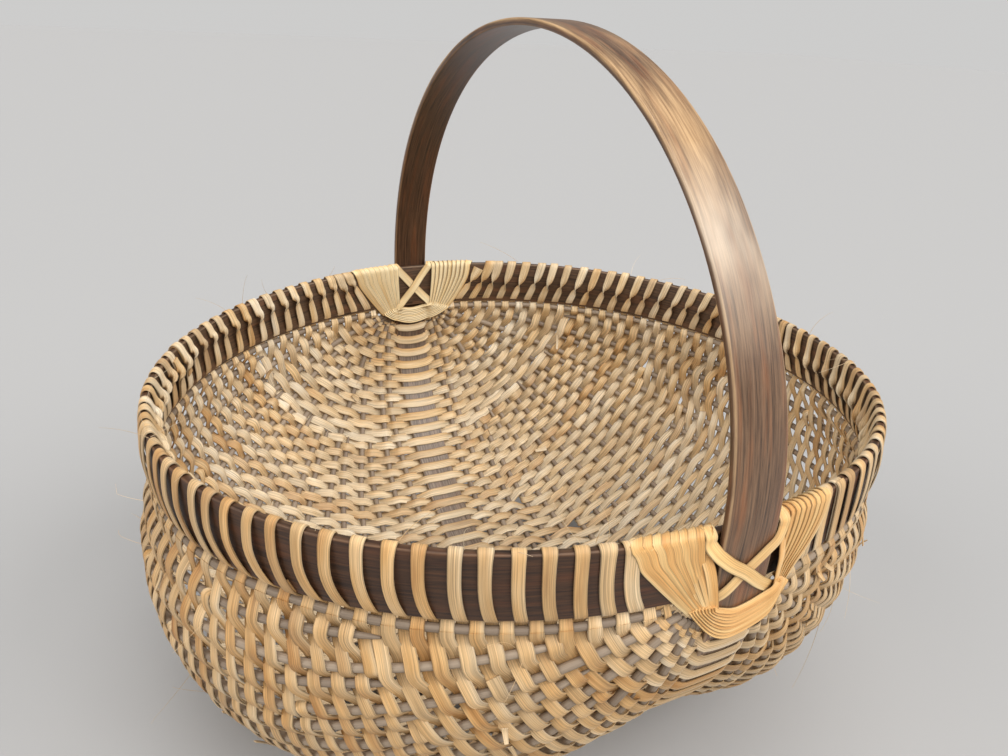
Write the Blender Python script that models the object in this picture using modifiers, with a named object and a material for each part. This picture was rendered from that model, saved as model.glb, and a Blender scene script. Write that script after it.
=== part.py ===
"""Ribbed basket with two cheeks: a carrying hoop, a rim hoop, round ribs, flat weaving and ear lashings."""

import math

import bpy
import bmesh
from mathutils import Vector

# Hoops
RIM_HALF_LENGTH = 0.2290
RIM_HALF_WIDTH = 0.2520
RIM_THICKNESS = 0.0050
RIM_HEIGHT = 0.0380
RIM_SAG = 0.0070
HANDLE_RISE = 0.2135
HANDLE_WIDTH = 0.0300
HANDLE_THICKNESS = 0.0045
SPINE_DEPTH = 0.2360
RIM_ROUNDNESS = 2.02
HANDLE_ROUNDNESS = 2.03
SPINE_ROUNDNESS = 1.90
EDGE_ROUNDING = 0.0011

# Cheeks, on the middle surface of the weave, depths from the top of the rim
CHEEK_HALF_WIDTH = 0.2600
CHEEK_WIDEST_DEPTH = 0.1000
CHEEK_DEPTH = 0.2590
CHEEK_LOW_POINT = 0.1160
REST_FLAT = 0.0006

# Ribs and weaving
RIBS_PER_SIDE = 18
RIB_DIAMETER = 0.0048
RIB_TIP_DIAMETER = 0.0028
RIB_TUCK = 0.0140
WEAVER_WIDTH = 0.0062
WEAVER_THICKNESS = 0.0014
WRAP_TAIL = 0.0020

# Ear lashings
FAN_HALF_WIDTH = 0.0550
FAN_INNER_EDGE = 0.0250
FAN_FOOT_WIDTH = 0.0420
LASHING_DEPTH = 0.0380
LASHING_BAND = 0.0150
LASHING_BULGE = 0.0018
LASHING_THICKNESS = 0.0012
CROSS_STRIP_WIDTH = 0.0060
CROSS_STRIP_THICKNESS = 0.0010
CROSS_HALF_SPREAD = 0.0200
CROSS_DROP = 0.0050

# Clearances
FIT = 0.0003
LASHING_CLEARANCE = 0.0016

# Divisions of the curved pieces
HANDLE_SEGMENTS = 40
RIM_SEGMENTS = 72
BAYS = 22
BAYS_PER_RIB_STEP = 2
WRAPS_PER_BAY = 2

RIM_MIDDLE_LENGTH = RIM_HALF_LENGTH - RIM_THICKNESS / 2
RIM_MIDDLE_WIDTH = RIM_HALF_WIDTH - RIM_THICKNESS / 2
HANDLE_INSIDE = RIM_HALF_LENGTH + FIT
HANDLE_MIDDLE = HANDLE_INSIDE + HANDLE_THICKNESS / 2
HANDLE_OUTSIDE = HANDLE_INSIDE + HANDLE_THICKNESS
SPINE_MIDDLE_DEPTH = SPINE_DEPTH + HANDLE_THICKNESS / 2
SPINE_EDGE = HANDLE_WIDTH / 2 + RIB_DIAMETER / 2 + 2 * FIT
EAR_LEVEL = RIM_HEIGHT + RIB_DIAMETER / 2 + 2 * FIT
SKIN_OFFSET = max(RIB_DIAMETER, RIM_THICKNESS, HANDLE_THICKNESS) / 2 + FIT

OAK = ((0.085, 0.042, 0.022), 0.45)
OAK_DARK = ((0.050, 0.027, 0.017), 0.55)
RIB_WOOD = ((0.250, 0.205, 0.165), 0.70)
SPLINT = ((0.560, 0.370, 0.165), 0.60)
SPLINT_PALE = ((0.640, 0.440, 0.210), 0.58)


def clear_scene():
    """Empty the file so that the basket is built alone."""
    for item in list(bpy.data.objects):
        bpy.data.objects.remove(item, do_unlink=True)


def make_material(name, colour, roughness):
    """Return a plain coloured finish."""
    material = bpy.data.materials.new(name)
    material.use_nodes = True
    shader = material.node_tree.nodes["Principled BSDF"]
    shader.inputs["Base Color"].default_value = (*colour, 1.0)
    shader.inputs["Roughness"].default_value = roughness
    shader.inputs["Metallic"].default_value = 0.0
    return material


def add_object(name, data, finish, frame, collection):
    """Put a mesh or curve in the scene under its own name and finish, hung from the rim's frame."""
    data.materials.append(make_material(name + "_finish", *finish))
    item = bpy.data.objects.new(name, data)
    item.parent = frame
    collection.objects.link(item)
    return item


def solidify(item, thickness):
    """Give an open surface its thickness on the outer side."""
    shell = item.modifiers.new("Thickness", "SOLIDIFY")
    shell.thickness = thickness
    shell.offset = 1.0
    shell.use_even_offset = True


def round_edges(item):
    """Round the long edges of a hoop."""
    rounding = item.modifiers.new("Rounded edges", "BEVEL")
    rounding.width = EDGE_ROUNDING
    rounding.segments = 1
    rounding.limit_method = "ANGLE"
    rounding.angle_limit = math.radians(40.0)


def smooth(mesh):
    """Shade a mesh smooth, with its real corners sharp."""
    mesh.shade_smooth()
    mesh.set_sharp_from_angle(angle=math.radians(40.0))


def ring_mesh(name, rows):
    """Skin rows of points into an open band; the last row joins the first."""
    shape = bmesh.new()
    grid = [[shape.verts.new(point) for point in row] for row in rows]
    for here, there in zip(grid, grid[1:] + grid[:1]):
        for j in range(len(here) - 1):
            shape.faces.new((here[j], here[j + 1], there[j + 1], there[j]))
    mesh = bpy.data.meshes.new(name)
    shape.to_mesh(mesh)
    shape.free()
    smooth(mesh)
    return mesh


def signed_power(value, power):
    """Raise a value's size to a power and keep its sign."""
    return math.copysign(abs(value) ** power, value)


def oval(angle, half_x, half_y, roundness):
    """Return a point of an oval; a roundness of 2 is an ellipse."""
    power = 2.0 / roundness
    return half_x * signed_power(math.cos(angle), power), half_y * signed_power(math.sin(angle), power)


def rim_level(y):
    """Height of the rim's top edge, which sags towards the cheeks."""
    return -RIM_SAG * (y / RIM_HALF_WIDTH) ** 2


def rim_face(y, inset):
    """Half length of the rim at a distance y from its middle, on a face set in by inset."""
    share = min(abs(y) / (RIM_HALF_WIDTH - inset), 1.0) ** RIM_ROUNDNESS
    return (RIM_HALF_LENGTH - inset) * (1.0 - share) ** (1.0 / RIM_ROUNDNESS)


def spine_face(z, inset):
    """Half length of the handle hoop at a height z below the rim, on a face set in by inset."""
    reach = SPINE_DEPTH + HANDLE_THICKNESS - EAR_LEVEL - inset
    share = min(max(-z - EAR_LEVEL, 0.0) / reach, 1.0) ** SPINE_ROUNDNESS
    return (HANDLE_OUTSIDE - inset) * (1.0 - share) ** (1.0 / SPINE_ROUNDNESS)


def lengths_along(points):
    """Distance of each point from the first, along the line through them."""
    total = [0.0]
    for before, after in zip(points, points[1:]):
        total.append(total[-1] + (after - before).length)
    return total


def cheek_section():
    """Points down the middle of a cheek, from the rib under the rim round the belly to the spine's edge."""
    top = Vector((RIM_MIDDLE_WIDTH, -EAR_LEVEL))
    wide = Vector((CHEEK_HALF_WIDTH, -CHEEK_WIDEST_DEPTH))
    low = Vector((CHEEK_LOW_POINT, -CHEEK_DEPTH))
    spine = Vector((SPINE_EDGE, -SPINE_MIDDLE_DEPTH))
    fall = low - wide
    rise = spine - low
    stretches = (
        (top, top.lerp(wide, 0.33), wide + Vector((0.0, (top.y - wide.y) * 0.33)), wide),
        (wide, wide + Vector((0.0, fall.y * 0.56)), low - Vector((fall.x * 0.50, 0.0)), low),
        (low, low + Vector((rise.x * 0.40, 0.0)), spine - Vector((rise.x * 0.45, rise.y * 0.60)), spine),
    )
    points = []
    for start, first, second, end in stretches:
        for i in range(40):
            t = i / 40
            u = 1.0 - t
            points.append(u ** 3 * start + 3 * u * u * t * first + 3 * u * t * t * second + t ** 3 * end)
    points.append(spine)
    return points


SECTION = cheek_section()
SECTION_LENGTHS = lengths_along(SECTION)


def section_point(share):
    """Point of the cheek's middle section at a share of its length: 0 at the rim, 1 at the spine."""
    wanted = share * SECTION_LENGTHS[-1]
    k = 1
    while k < len(SECTION) - 1 and SECTION_LENGTHS[k] < wanted:
        k += 1
    step = SECTION_LENGTHS[k] - SECTION_LENGTHS[k - 1]
    return SECTION[k - 1].lerp(SECTION[k], (wanted - SECTION_LENGTHS[k - 1]) / step)


def roundness_at(share):
    """Roundness of a line from ear to ear: the rim's at 0, the spine's at 1."""
    return RIM_ROUNDNESS + (SPINE_ROUNDNESS - RIM_ROUNDNESS) * share


def cheek_point(angle, share, side):
    """Point on the middle surface of the weave; the angle runs from ear to ear, the share from rim to spine."""
    middle = section_point(share)
    roundness = roundness_at(share)
    reach = math.sin(angle) ** (2.0 / roundness)
    y = SPINE_EDGE + (middle.x - SPINE_EDGE) * reach
    drop = (middle.y + EAR_LEVEL) * reach
    ratio = math.hypot(y, drop) / math.hypot(middle.x, middle.y + EAR_LEVEL)
    part = min((1.0 - share) * ratio + share * reach, 1.0)
    length = RIM_MIDDLE_LENGTH + (HANDLE_MIDDLE - RIM_MIDDLE_LENGTH) * share
    x = length * (1.0 - part ** roundness) ** (1.0 / roundness)
    return Vector((math.copysign(x, math.cos(angle)), side * y, drop - EAR_LEVEL + rim_level(y) * (1.0 - share)))


def cheek_normal(angle, share, side):
    """Outward direction of the weave's middle surface."""
    low = max(share - 0.004, 0.0)
    high = min(share + 0.004, 1.0)
    along = cheek_point(angle + 0.004, share, side) - cheek_point(angle - 0.004, share, side)
    down = cheek_point(angle, high, side) - cheek_point(angle, low, side)
    return (down.cross(along) * side).normalized()


def start_angle(share):
    """Angle at which a line of the weave leaves the ear, just outside the lashing."""
    middle = section_point(share)
    wide = FAN_HALF_WIDTH + LASHING_CLEARANCE
    deep = LASHING_DEPTH + LASHING_CLEARANCE
    run = (middle.x - SPINE_EDGE) / wide
    fall = (middle.y + EAR_LEVEL) / deep
    shift = SPINE_EDGE / wide
    square = run * run + fall * fall
    reach = (math.sqrt((run * shift) ** 2 + square * (1.0 - shift * shift)) - run * shift) / square
    return math.asin(reach ** (roundness_at(share) / 2.0))


def bay_angles(share):
    """Angles from ear to ear that divide a line of the weave into equal lengths."""
    first = start_angle(share)
    samples = [first + (math.pi - 2 * first) * i / 240 for i in range(241)]
    total = lengths_along([cheek_point(angle, share, 1.0) for angle in samples])
    angles = []
    k = 0
    for bay in range(BAYS + 1):
        wanted = total[-1] * bay / BAYS
        while k < 239 and total[k + 1] < wanted:
            k += 1
        step = (wanted - total[k]) / (total[k + 1] - total[k])
        angles.append(samples[k] + (samples[k + 1] - samples[k]) * step)
    return angles


def rib_shares():
    """Places of the ribs, from the one right under the rim to the one beside the spine."""
    last = 1.0 - RIB_DIAMETER * 1.5 / SECTION_LENGTHS[-1]
    return [last * i / (RIBS_PER_SIDE - 1) for i in range(RIBS_PER_SIDE)]


def make_handle(frame, collection):
    """Carrying hoop: an arch over the rim, straight past it, and the spine under the basket."""
    arch = [oval(math.pi * i / HANDLE_SEGMENTS, HANDLE_INSIDE, HANDLE_RISE, HANDLE_ROUNDNESS)
            for i in range(HANDLE_SEGMENTS + 1)]
    bays = bay_angles(1.0)
    turns = [0.0, bays[0] * 0.5] + bays + [math.pi - bays[0] * 0.5, math.pi]
    deep = SPINE_DEPTH - EAR_LEVEL
    belly = [oval(angle, HANDLE_INSIDE, deep, SPINE_ROUNDNESS) for angle in reversed(turns)]
    outline = arch + [(x, -EAR_LEVEL - z) for x, z in belly]
    half = HANDLE_WIDTH / 2
    rows = [(Vector((x, -half, z)), Vector((x, half, z))) for x, z in outline]
    hoop = add_object("handle_hoop", ring_mesh("handle_hoop", rows), OAK, frame, collection)
    solidify(hoop, HANDLE_THICKNESS)
    round_edges(hoop)


def make_rim(frame, collection):
    """Rim hoop: an upright band, nearly round, that sags a little towards the cheeks."""
    rows = []
    for i in range(RIM_SEGMENTS):
        x, y = oval(2 * math.pi * i / RIM_SEGMENTS, RIM_HALF_LENGTH - RIM_THICKNESS,
                    RIM_HALF_WIDTH - RIM_THICKNESS, RIM_ROUNDNESS)
        top = rim_level(y)
        rows.append((Vector((x, y, top)), Vector((x, y, top - RIM_HEIGHT))))
    hoop = add_object("rim_hoop", ring_mesh("rim_hoop", rows), OAK_DARK, frame, collection)
    solidify(hoop, RIM_THICKNESS)
    round_edges(hoop)


def make_rib(name, share, side, first_bay, frame, collection):
    """Round rib from ear to ear; a secondary rib starts some bays in, both ends sharpened."""
    bays = bay_angles(share)
    angles = bays[first_bay:BAYS + 1 - first_bay:BAYS_PER_RIB_STEP]
    if first_bay == 0:
        tuck = bays[0] * (1.0 - RIB_TUCK / FAN_FOOT_WIDTH)
        angles = [tuck] + angles + [math.pi - tuck]
    points = [cheek_point(angle, share, side) for angle in angles]
    curve = bpy.data.curves.new(name, "CURVE")
    curve.dimensions = "3D"
    spline = curve.splines.new("POLY")
    spline.points.add(len(points) - 1)
    for target, point in zip(spline.points, points):
        target.co = (*point, 1.0)
    for i in (0, -1):
        spline.points[i].radius = RIB_TIP_DIAMETER / RIB_DIAMETER
    curve.bevel_depth = RIB_DIAMETER / 2
    curve.bevel_resolution = 1
    curve.use_fill_caps = True
    add_object(name, curve, RIB_WOOD, frame, collection)


def wrap_path(angle, side):
    """Points of a weaver over the rim: up its outer face from the lip of the weave, over its top, down inside."""
    point = cheek_point(angle, 0.0, side)
    ahead = cheek_point(angle + 0.004, 0.0, side) - cheek_point(angle - 0.004, 0.0, side)
    out = Vector((ahead.y, -ahead.x, 0.0)).normalized() * side * SKIN_OFFSET
    level = Vector((point.x, point.y, rim_level(point.y)))
    top = Vector((0.0, 0.0, FIT))
    foot = Vector((0.0, 0.0, WRAP_TAIL - RIM_HEIGHT))
    lip = Vector((0.0, 0.0, -RIM_HEIGHT - FIT))
    return [level + out + lip, level + out + top, level - out + top, level - out + foot]


def make_weave(name, side, frame, collection):
    """Woven skin of a cheek, outside its ribs and under half the spine, with its wraps over the rim."""
    shape = bmesh.new()

    def put(angle, share):
        out = cheek_normal(angle, share, side) * SKIN_OFFSET
        return shape.verts.new(cheek_point(angle, share, side) + out)

    def face(*corners):
        shape.faces.new(corners if side < 0 else tuple(reversed(corners)))

    grid = []
    for share in rib_shares() + [1.0]:
        grid.append([put(angle, share) for angle in bay_angles(share)])
    keel = []
    for angle in bay_angles(1.0):
        below = cheek_point(angle, 1.0, side) + cheek_normal(angle, 1.0, side) * SKIN_OFFSET
        keel.append(shape.verts.new((below.x, side * FIT / 2, below.z)))
    grid.append(keel)
    for here, there in zip(grid, grid[1:]):
        for j in range(BAYS):
            face(here[j], here[j + 1], there[j + 1], there[j])
    edge = bay_angles(0.0)
    corners = [shape.verts.new(wrap_path(angle, side)[0]) for angle in edge]
    for j in range(BAYS):
        bay = (cheek_point(edge[j + 1], 0.0, side) - cheek_point(edge[j], 0.0, side)).length
        half = WEAVER_WIDTH / 2 / bay
        line = [corners[j]]
        for k in range(WRAPS_PER_BAY):
            middle = (k + 0.5) / WRAPS_PER_BAY
            sides = []
            for t in (middle - half, middle + half):
                angle = edge[j] + (edge[j + 1] - edge[j]) * t
                sides.append([shape.verts.new(point) for point in wrap_path(angle, side)])
            left, right = sides
            for i in range(len(left) - 1):
                face(left[i + 1], right[i + 1], right[i], left[i])
            line += [left[0], right[0]]
        line.append(corners[j + 1])
        turn = len(line) // 2
        for i in range(turn):
            face(line[i], line[i + 1], grid[0][j])
        face(line[turn], grid[0][j + 1], grid[0][j])
        for i in range(turn, len(line) - 1):
            face(line[i], line[i + 1], grid[0][j + 1])
    mesh = bpy.data.meshes.new(name)
    shape.to_mesh(mesh)
    shape.free()
    smooth(mesh)
    weave = add_object(name, mesh, SPLINT, frame, collection)
    solidify(weave, WEAVER_THICKNESS)
    return weave


def lashing_row(t):
    """Half round of one course of the lashing, from the spine's outer face over the rim to its inner face."""
    top_y = FAN_INNER_EDGE + (FAN_HALF_WIDTH - FAN_INNER_EDGE) * t
    foot_y = FAN_INNER_EDGE + (FAN_FOOT_WIDTH - FAN_INNER_EDGE) * t
    deep = LASHING_DEPTH - LASHING_BAND * (1.0 - t)
    edge = HANDLE_WIDTH / 2 + 3 * FIT
    outer = []
    inner = []
    for step in (0.0, 1.0, 2.0, 3.0):
        y = step / 3 * foot_y if step == 0.0 else edge + (foot_y - edge) * (step - 1.0) / 3
        z = -RIM_HEIGHT - deep * math.sqrt(1.0 - (y / foot_y) ** 2)
        mix = max(step - 1.0, 0.0) / 3
        bulge = LASHING_BULGE * math.sin(math.pi * mix)
        outside = (spine_face(z, 0.0) + 2 * FIT) * (1.0 - mix) + (rim_face(foot_y, 0.0) + FIT) * mix + bulge
        inside = (spine_face(z, HANDLE_THICKNESS) - 2 * FIT) * (1.0 - mix)
        inside += (rim_face(foot_y, RIM_THICKNESS) - FIT) * mix - bulge
        outer.append(Vector((outside, y, z)))
        inner.append(Vector((inside, y, z)))
    for y, z in ((foot_y, -RIM_HEIGHT), (top_y, rim_level(top_y) + FIT)):
        outer.append(Vector((rim_face(y, 0.0) + FIT, y, z)))
        inner.append(Vector((rim_face(y, RIM_THICKNESS) - FIT, y, z)))
    return outer + list(reversed(inner))


def make_lashing(name, end, frame, collection):
    """Ear lashing: courses that fan over the rim on both sides and cross the spine outside and inside."""
    courses = []
    for i in range(4):
        half = lashing_row(i / 3)
        other = [Vector((p.x, -p.y, p.z)) for p in reversed(half[1:-1])]
        courses.append(half + other)
    rows = [[Vector((end * p.x, p.y, p.z)) for p in row] for row in zip(*courses)]
    if end < 0:
        rows.reverse()
    lashing = add_object(name, ring_mesh(name, rows), SPLINT_PALE, frame, collection)
    solidify(lashing, LASHING_THICKNESS)


def make_cross_strip(name, end, hand, lift, frame, collection):
    """One strip of the cross that ties the hoops: down the outer face, under the rim and back up inside."""
    top = rim_level(CROSS_HALF_SPREAD) + FIT
    bottom = -RIM_HEIGHT - CROSS_DROP
    slope = (top - bottom) / (2 * CROSS_HALF_SPREAD)
    lean = math.atan(slope)
    half = CROSS_STRIP_WIDTH / 2
    edge = HANDLE_WIDTH / 2 + 2 * FIT + half * math.sin(lean)
    fold = Vector((0.0, -half, 0.0))
    slant = Vector((0.0, -half * math.sin(lean), -hand * half * math.cos(lean)))
    rim_out = rim_face(CROSS_HALF_SPREAD, 0.0) + FIT
    rim_in = rim_face(CROSS_HALF_SPREAD, RIM_THICKNESS) - FIT - lift
    over = HANDLE_OUTSIDE + FIT + lift
    path = (
        (rim_out, -CROSS_HALF_SPREAD, top, fold),
        (over, -edge, top - slope * (CROSS_HALF_SPREAD - edge), slant),
        (over, edge, bottom + slope * (CROSS_HALF_SPREAD - edge), slant),
        (rim_out, CROSS_HALF_SPREAD, bottom, fold),
        (rim_in, CROSS_HALF_SPREAD, bottom, fold),
        (rim_in, edge, bottom + slope * (CROSS_HALF_SPREAD - edge), slant),
        (rim_in, -edge, top - slope * (CROSS_HALF_SPREAD - edge), slant),
        (rim_in, -CROSS_HALF_SPREAD, top, fold),
    )
    rows = []
    for x, y, z, across in path:
        middle = Vector((x, hand * y, z))
        rows.append([Vector((end * p.x, p.y, p.z)) for p in (middle - across, middle + across)])
    if end < 0:
        rows.reverse()
    strip = add_object(name, ring_mesh(name, rows), SPLINT_PALE, frame, collection)
    solidify(strip, CROSS_STRIP_THICKNESS)


def cut_rests(weaves, cutters):
    """Flatten the undersides of the cheeks, on which the basket stands."""
    bpy.ops.mesh.primitive_cube_add(size=1.0)
    floor = bpy.context.object
    floor.name = "rest_cutter"
    floor.dimensions = (4 * RIM_HALF_LENGTH, 4 * RIM_HALF_WIDTH, 2 * CHEEK_DEPTH)
    floor.location = (0.0, 0.0, -CHEEK_DEPTH)
    floor.hide_render = True
    floor.display_type = "WIRE"
    for owner in list(floor.users_collection):
        owner.objects.unlink(floor)
    cutters.objects.link(floor)
    for weave in weaves:
        cut = weave.modifiers.new("Flat rest", "BOOLEAN")
        cut.operation = "DIFFERENCE"
        cut.solver = "EXACT"
        cut.object = floor


def rim_height_above_floor():
    """Height of the rim's top edge when the cheeks stand on their flats."""
    lowest = 0.0
    for share in rib_shares():
        for angle in bay_angles(share):
            out = cheek_normal(angle, share, 1.0) * (SKIN_OFFSET + WEAVER_THICKNESS)
            lowest = min(lowest, (cheek_point(angle, share, 1.0) + out).z)
    return -lowest - REST_FLAT


def build():
    """Make the whole basket."""
    clear_scene()
    parts = bpy.data.collections.new("buttocks_basket")
    cutters = bpy.data.collections.new("cutters")
    bpy.context.scene.collection.children.link(parts)
    bpy.context.scene.collection.children.link(cutters)
    frame = bpy.data.objects.new("rim_frame", None)
    frame.location = (0.0, 0.0, rim_height_above_floor())
    parts.objects.link(frame)
    make_handle(frame, parts)
    make_rim(frame, parts)
    weaves = []
    for label, side in (("left", -1.0), ("right", 1.0)):
        for i, share in enumerate(rib_shares()):
            make_rib("rib_%s_%02d" % (label, i + 1), share, side, i % 2 * 2, frame, parts)
        weaves.append(make_weave("weave_" + label, side, frame, parts))
    for label, end in (("front", 1.0), ("back", -1.0)):
        make_lashing("ear_lashing_" + label, end, frame, parts)
        make_cross_strip("ear_cross_%s_under" % label, end, 1.0, 0.0, frame, parts)
        make_cross_strip("ear_cross_%s_over" % label, end, -1.0, CROSS_STRIP_THICKNESS + FIT, frame, parts)
    cut_rests(weaves, cutters)
    bpy.context.view_layer.update()


build()
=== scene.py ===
import math
import random

import bpy
import numpy as np
from mathutils import Matrix, Vector


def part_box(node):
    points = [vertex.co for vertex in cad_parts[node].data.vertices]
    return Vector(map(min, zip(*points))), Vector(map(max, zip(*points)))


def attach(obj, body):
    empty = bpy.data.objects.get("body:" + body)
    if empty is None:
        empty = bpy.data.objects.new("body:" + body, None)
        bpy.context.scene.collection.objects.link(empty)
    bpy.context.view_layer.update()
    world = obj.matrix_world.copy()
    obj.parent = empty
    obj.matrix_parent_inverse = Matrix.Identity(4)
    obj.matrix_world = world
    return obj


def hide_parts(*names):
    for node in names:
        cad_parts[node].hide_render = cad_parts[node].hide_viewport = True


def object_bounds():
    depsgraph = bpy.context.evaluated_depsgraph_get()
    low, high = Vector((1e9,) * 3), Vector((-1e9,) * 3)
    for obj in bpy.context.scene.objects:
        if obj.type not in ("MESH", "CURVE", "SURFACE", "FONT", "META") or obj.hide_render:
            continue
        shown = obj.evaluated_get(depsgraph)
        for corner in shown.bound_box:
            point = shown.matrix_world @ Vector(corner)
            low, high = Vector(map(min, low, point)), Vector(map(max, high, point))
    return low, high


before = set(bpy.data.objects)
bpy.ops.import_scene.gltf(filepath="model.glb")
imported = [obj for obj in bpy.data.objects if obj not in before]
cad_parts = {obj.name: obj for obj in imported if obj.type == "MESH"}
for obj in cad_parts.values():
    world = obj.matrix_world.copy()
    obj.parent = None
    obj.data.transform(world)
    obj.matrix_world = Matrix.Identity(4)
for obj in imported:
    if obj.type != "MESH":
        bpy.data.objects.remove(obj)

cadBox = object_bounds()
print("frame loaded")

# The basket's own sizes, in metres, as the solids have them. Depths run down from the rim's top edge.
basket = {
    "rimHalfLength": 0.2290, "rimHalfWidth": 0.2520, "rimThickness": 0.0050, "rimHeight": 0.0380, "rimSag": 0.0070,
    "handleRise": 0.2135, "handleWidth": 0.0300, "handleThickness": 0.0045, "spineDepth": 0.2360,
    "rimRoundness": 2.02, "handleRoundness": 2.03, "spineRoundness": 1.90,
    "cheekHalfWidth": 0.2600, "cheekWidestDepth": 0.1000, "cheekDepth": 0.2590, "cheekLowPoint": 0.1160,
    "ribsPerSide": 18, "ribDiameter": 0.0048, "bays": 22, "fit": 0.0003,
    "fanHalfWidth": 0.0405, "lashingDepth": 0.0140, "lashingClearance": 0.0016, "middleHeight": 0.18, "ribDrop": 0.0037, "farLift": 0.0022,
}
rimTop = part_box("weave_left")[1][2] - 0.0003 - 0.0014
rimMiddleLength = basket["rimHalfLength"] - basket["rimThickness"] / 2
rimMiddleWidth = basket["rimHalfWidth"] - basket["rimThickness"] / 2
handleInside = basket["rimHalfLength"] + basket["fit"]
handleMiddle = handleInside + basket["handleThickness"] / 2
spineMiddleDepth = basket["spineDepth"] + basket["handleThickness"] / 2
spineEdge = basket["handleWidth"] / 2 + basket["ribDiameter"] / 2 + 2 * basket["fit"]
earLevel = basket["rimHeight"] + basket["ribDiameter"] / 2 + 2 * basket["fit"] + basket["ribDrop"]
print("rim top at", round(rimTop, 5))


# Small helpers

def srgb(code):
    channels = [int(code[i:i + 2], 16) / 255 for i in (1, 3, 5)]
    return tuple(c / 12.92 if c <= 0.04045 else ((c + 0.055) / 1.055) ** 2.4 for c in channels) + (1.0,)


def addNode(tree, kind, settings=None, links=None):
    node = tree.nodes.new(kind)
    for key, value in (settings or {}).items():
        if isinstance(key, int) or key in node.inputs:
            node.inputs[key].default_value = value
        else:
            setattr(node, key, value)
    for key, source in (links or {}).items():
        tree.links.new(source, node.inputs[key])
    return node


def deselect():
    if bpy.context.mode != "OBJECT":
        bpy.ops.object.mode_set(mode="OBJECT")
    bpy.ops.object.select_all(action="DESELECT")


def unit(v):
    return v / np.maximum(np.linalg.norm(v, axis=-1, keepdims=True), 1e-12)


def smoothStep(x):
    x = np.clip(x, 0, 1)
    return x * x * (3 - 2 * x)


# The basket's surface

def cheekSection():
    top = np.array((rimMiddleWidth, -earLevel))
    wide = np.array((basket["cheekHalfWidth"], -basket["cheekWidestDepth"]))
    low = np.array((basket["cheekLowPoint"], -basket["cheekDepth"]))
    spine = np.array((spineEdge, -spineMiddleDepth))
    fall = low - wide
    rise = spine - low
    stretches = (
        (top, top + (wide - top) * 0.33, wide + (0.0, (top[1] - wide[1]) * 0.33), wide),
        (wide, wide + (0.0, fall[1] * 0.56), low - (fall[0] * 0.50, 0.0), low),
        (low, low + (rise[0] * 0.40, 0.0), spine - (rise[0] * 0.45, rise[1] * 0.60), spine),
    )
    t = np.arange(40)[:, None] / 40
    u = 1 - t
    parts = [u ** 3 * a + 3 * u * u * t * b + 3 * u * t * t * c + t ** 3 * d for a, b, c, d in stretches]
    return np.concatenate(parts + [spine[None]])


section = cheekSection()
sectionRun = np.concatenate(([0.0], np.cumsum(np.linalg.norm(np.diff(section, axis=0), axis=1))))


def sectionPoint(share):
    run = np.asarray(share) * sectionRun[-1]
    return np.interp(run, sectionRun, section[:, 0]), np.interp(run, sectionRun, section[:, 1])


def rimLevel(y):
    return -basket["rimSag"] * (y / basket["rimHalfWidth"]) ** 2


# On the far half the first ribs sit closer under the rim.
def farLift(angle):
    return basket["farLift"] * smoothStep((angle / math.pi - 0.42) / 0.16)


def cheekPoint(angle, share, side):
    across, down = sectionPoint(share)
    roundness = basket["rimRoundness"] + (basket["spineRoundness"] - basket["rimRoundness"]) * share
    reach = np.clip(np.sin(angle), 0, 1) ** (2 / roundness)
    y = spineEdge + (across - spineEdge) * reach
    drop = (down + earLevel) * reach
    ratio = np.hypot(y, drop) / np.hypot(across, down + earLevel)
    part = np.clip((1 - share) * ratio + share * reach, 0, 1)
    length = rimMiddleLength + (handleMiddle - rimMiddleLength) * share
    x = length * (1 - part ** roundness) ** (1 / roundness)
    z = drop - earLevel + rimLevel(y) * (1 - share) + farLift(angle) * (1 - share) ** 8
    return np.stack([np.copysign(x, np.cos(angle)), side * y, z + rimTop], axis=-1)


def cheekNormal(angle, share, side):
    low = np.maximum(share - 0.004, 0)
    high = np.minimum(share + 0.004, 1)
    along = cheekPoint(angle + 0.004, share, side) - cheekPoint(angle - 0.004, share, side)
    down = cheekPoint(angle, high, side) - cheekPoint(angle, low, side)
    return unit(np.cross(down, along) * side)


def startAngle(share):
    across, down = sectionPoint(share)
    wide = basket["fanHalfWidth"] + basket["lashingClearance"]
    deep = basket["lashingDepth"] + basket["lashingClearance"]
    run = (across - spineEdge) / wide
    fall = (down + earLevel) / deep
    shift = spineEdge / wide
    square = run * run + fall * fall
    reach = (math.sqrt((run * shift) ** 2 + square * (1 - shift * shift)) - run * shift) / square
    roundness = basket["rimRoundness"] + (basket["spineRoundness"] - basket["rimRoundness"]) * share
    return math.asin(reach ** (roundness / 2))


# Angle of each point that lies a given part of the way from the front ear's lashing to the back one's,
# by length, on a fine ladder of shares.
ladder = np.linspace(0, 1, 201)
partSteps = np.linspace(0, 1, 401)
angleTable = np.zeros((len(ladder), len(partSteps)))
for i, share in enumerate(ladder):
    first = startAngle(share)
    samples = np.linspace(first, math.pi - first, 401)
    points = cheekPoint(samples, share, 1.0)
    run = np.concatenate(([0.0], np.cumsum(np.linalg.norm(np.diff(points, axis=0), axis=1))))
    angleTable[i] = np.interp(partSteps * run[-1], run, samples)


def angleAt(part, share):
    part = np.asarray(part, float)
    share = np.asarray(share, float)
    i = np.clip(share * (len(ladder) - 1), 0, len(ladder) - 1.0001)
    j = np.clip(part * (len(partSteps) - 1), 0, len(partSteps) - 1.0001)
    i0 = i.astype(int)
    j0 = j.astype(int)
    u = i - i0
    v = j - j0
    return ((1 - u) * ((1 - v) * angleTable[i0, j0] + v * angleTable[i0, j0 + 1])
            + u * ((1 - v) * angleTable[i0 + 1, j0] + v * angleTable[i0 + 1, j0 + 1]))


ribShares = np.linspace(0, 1 - basket["ribDiameter"] * 1.5 / sectionRun[-1], basket["ribsPerSide"])
ribSpacing = ribShares[1]
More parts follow.
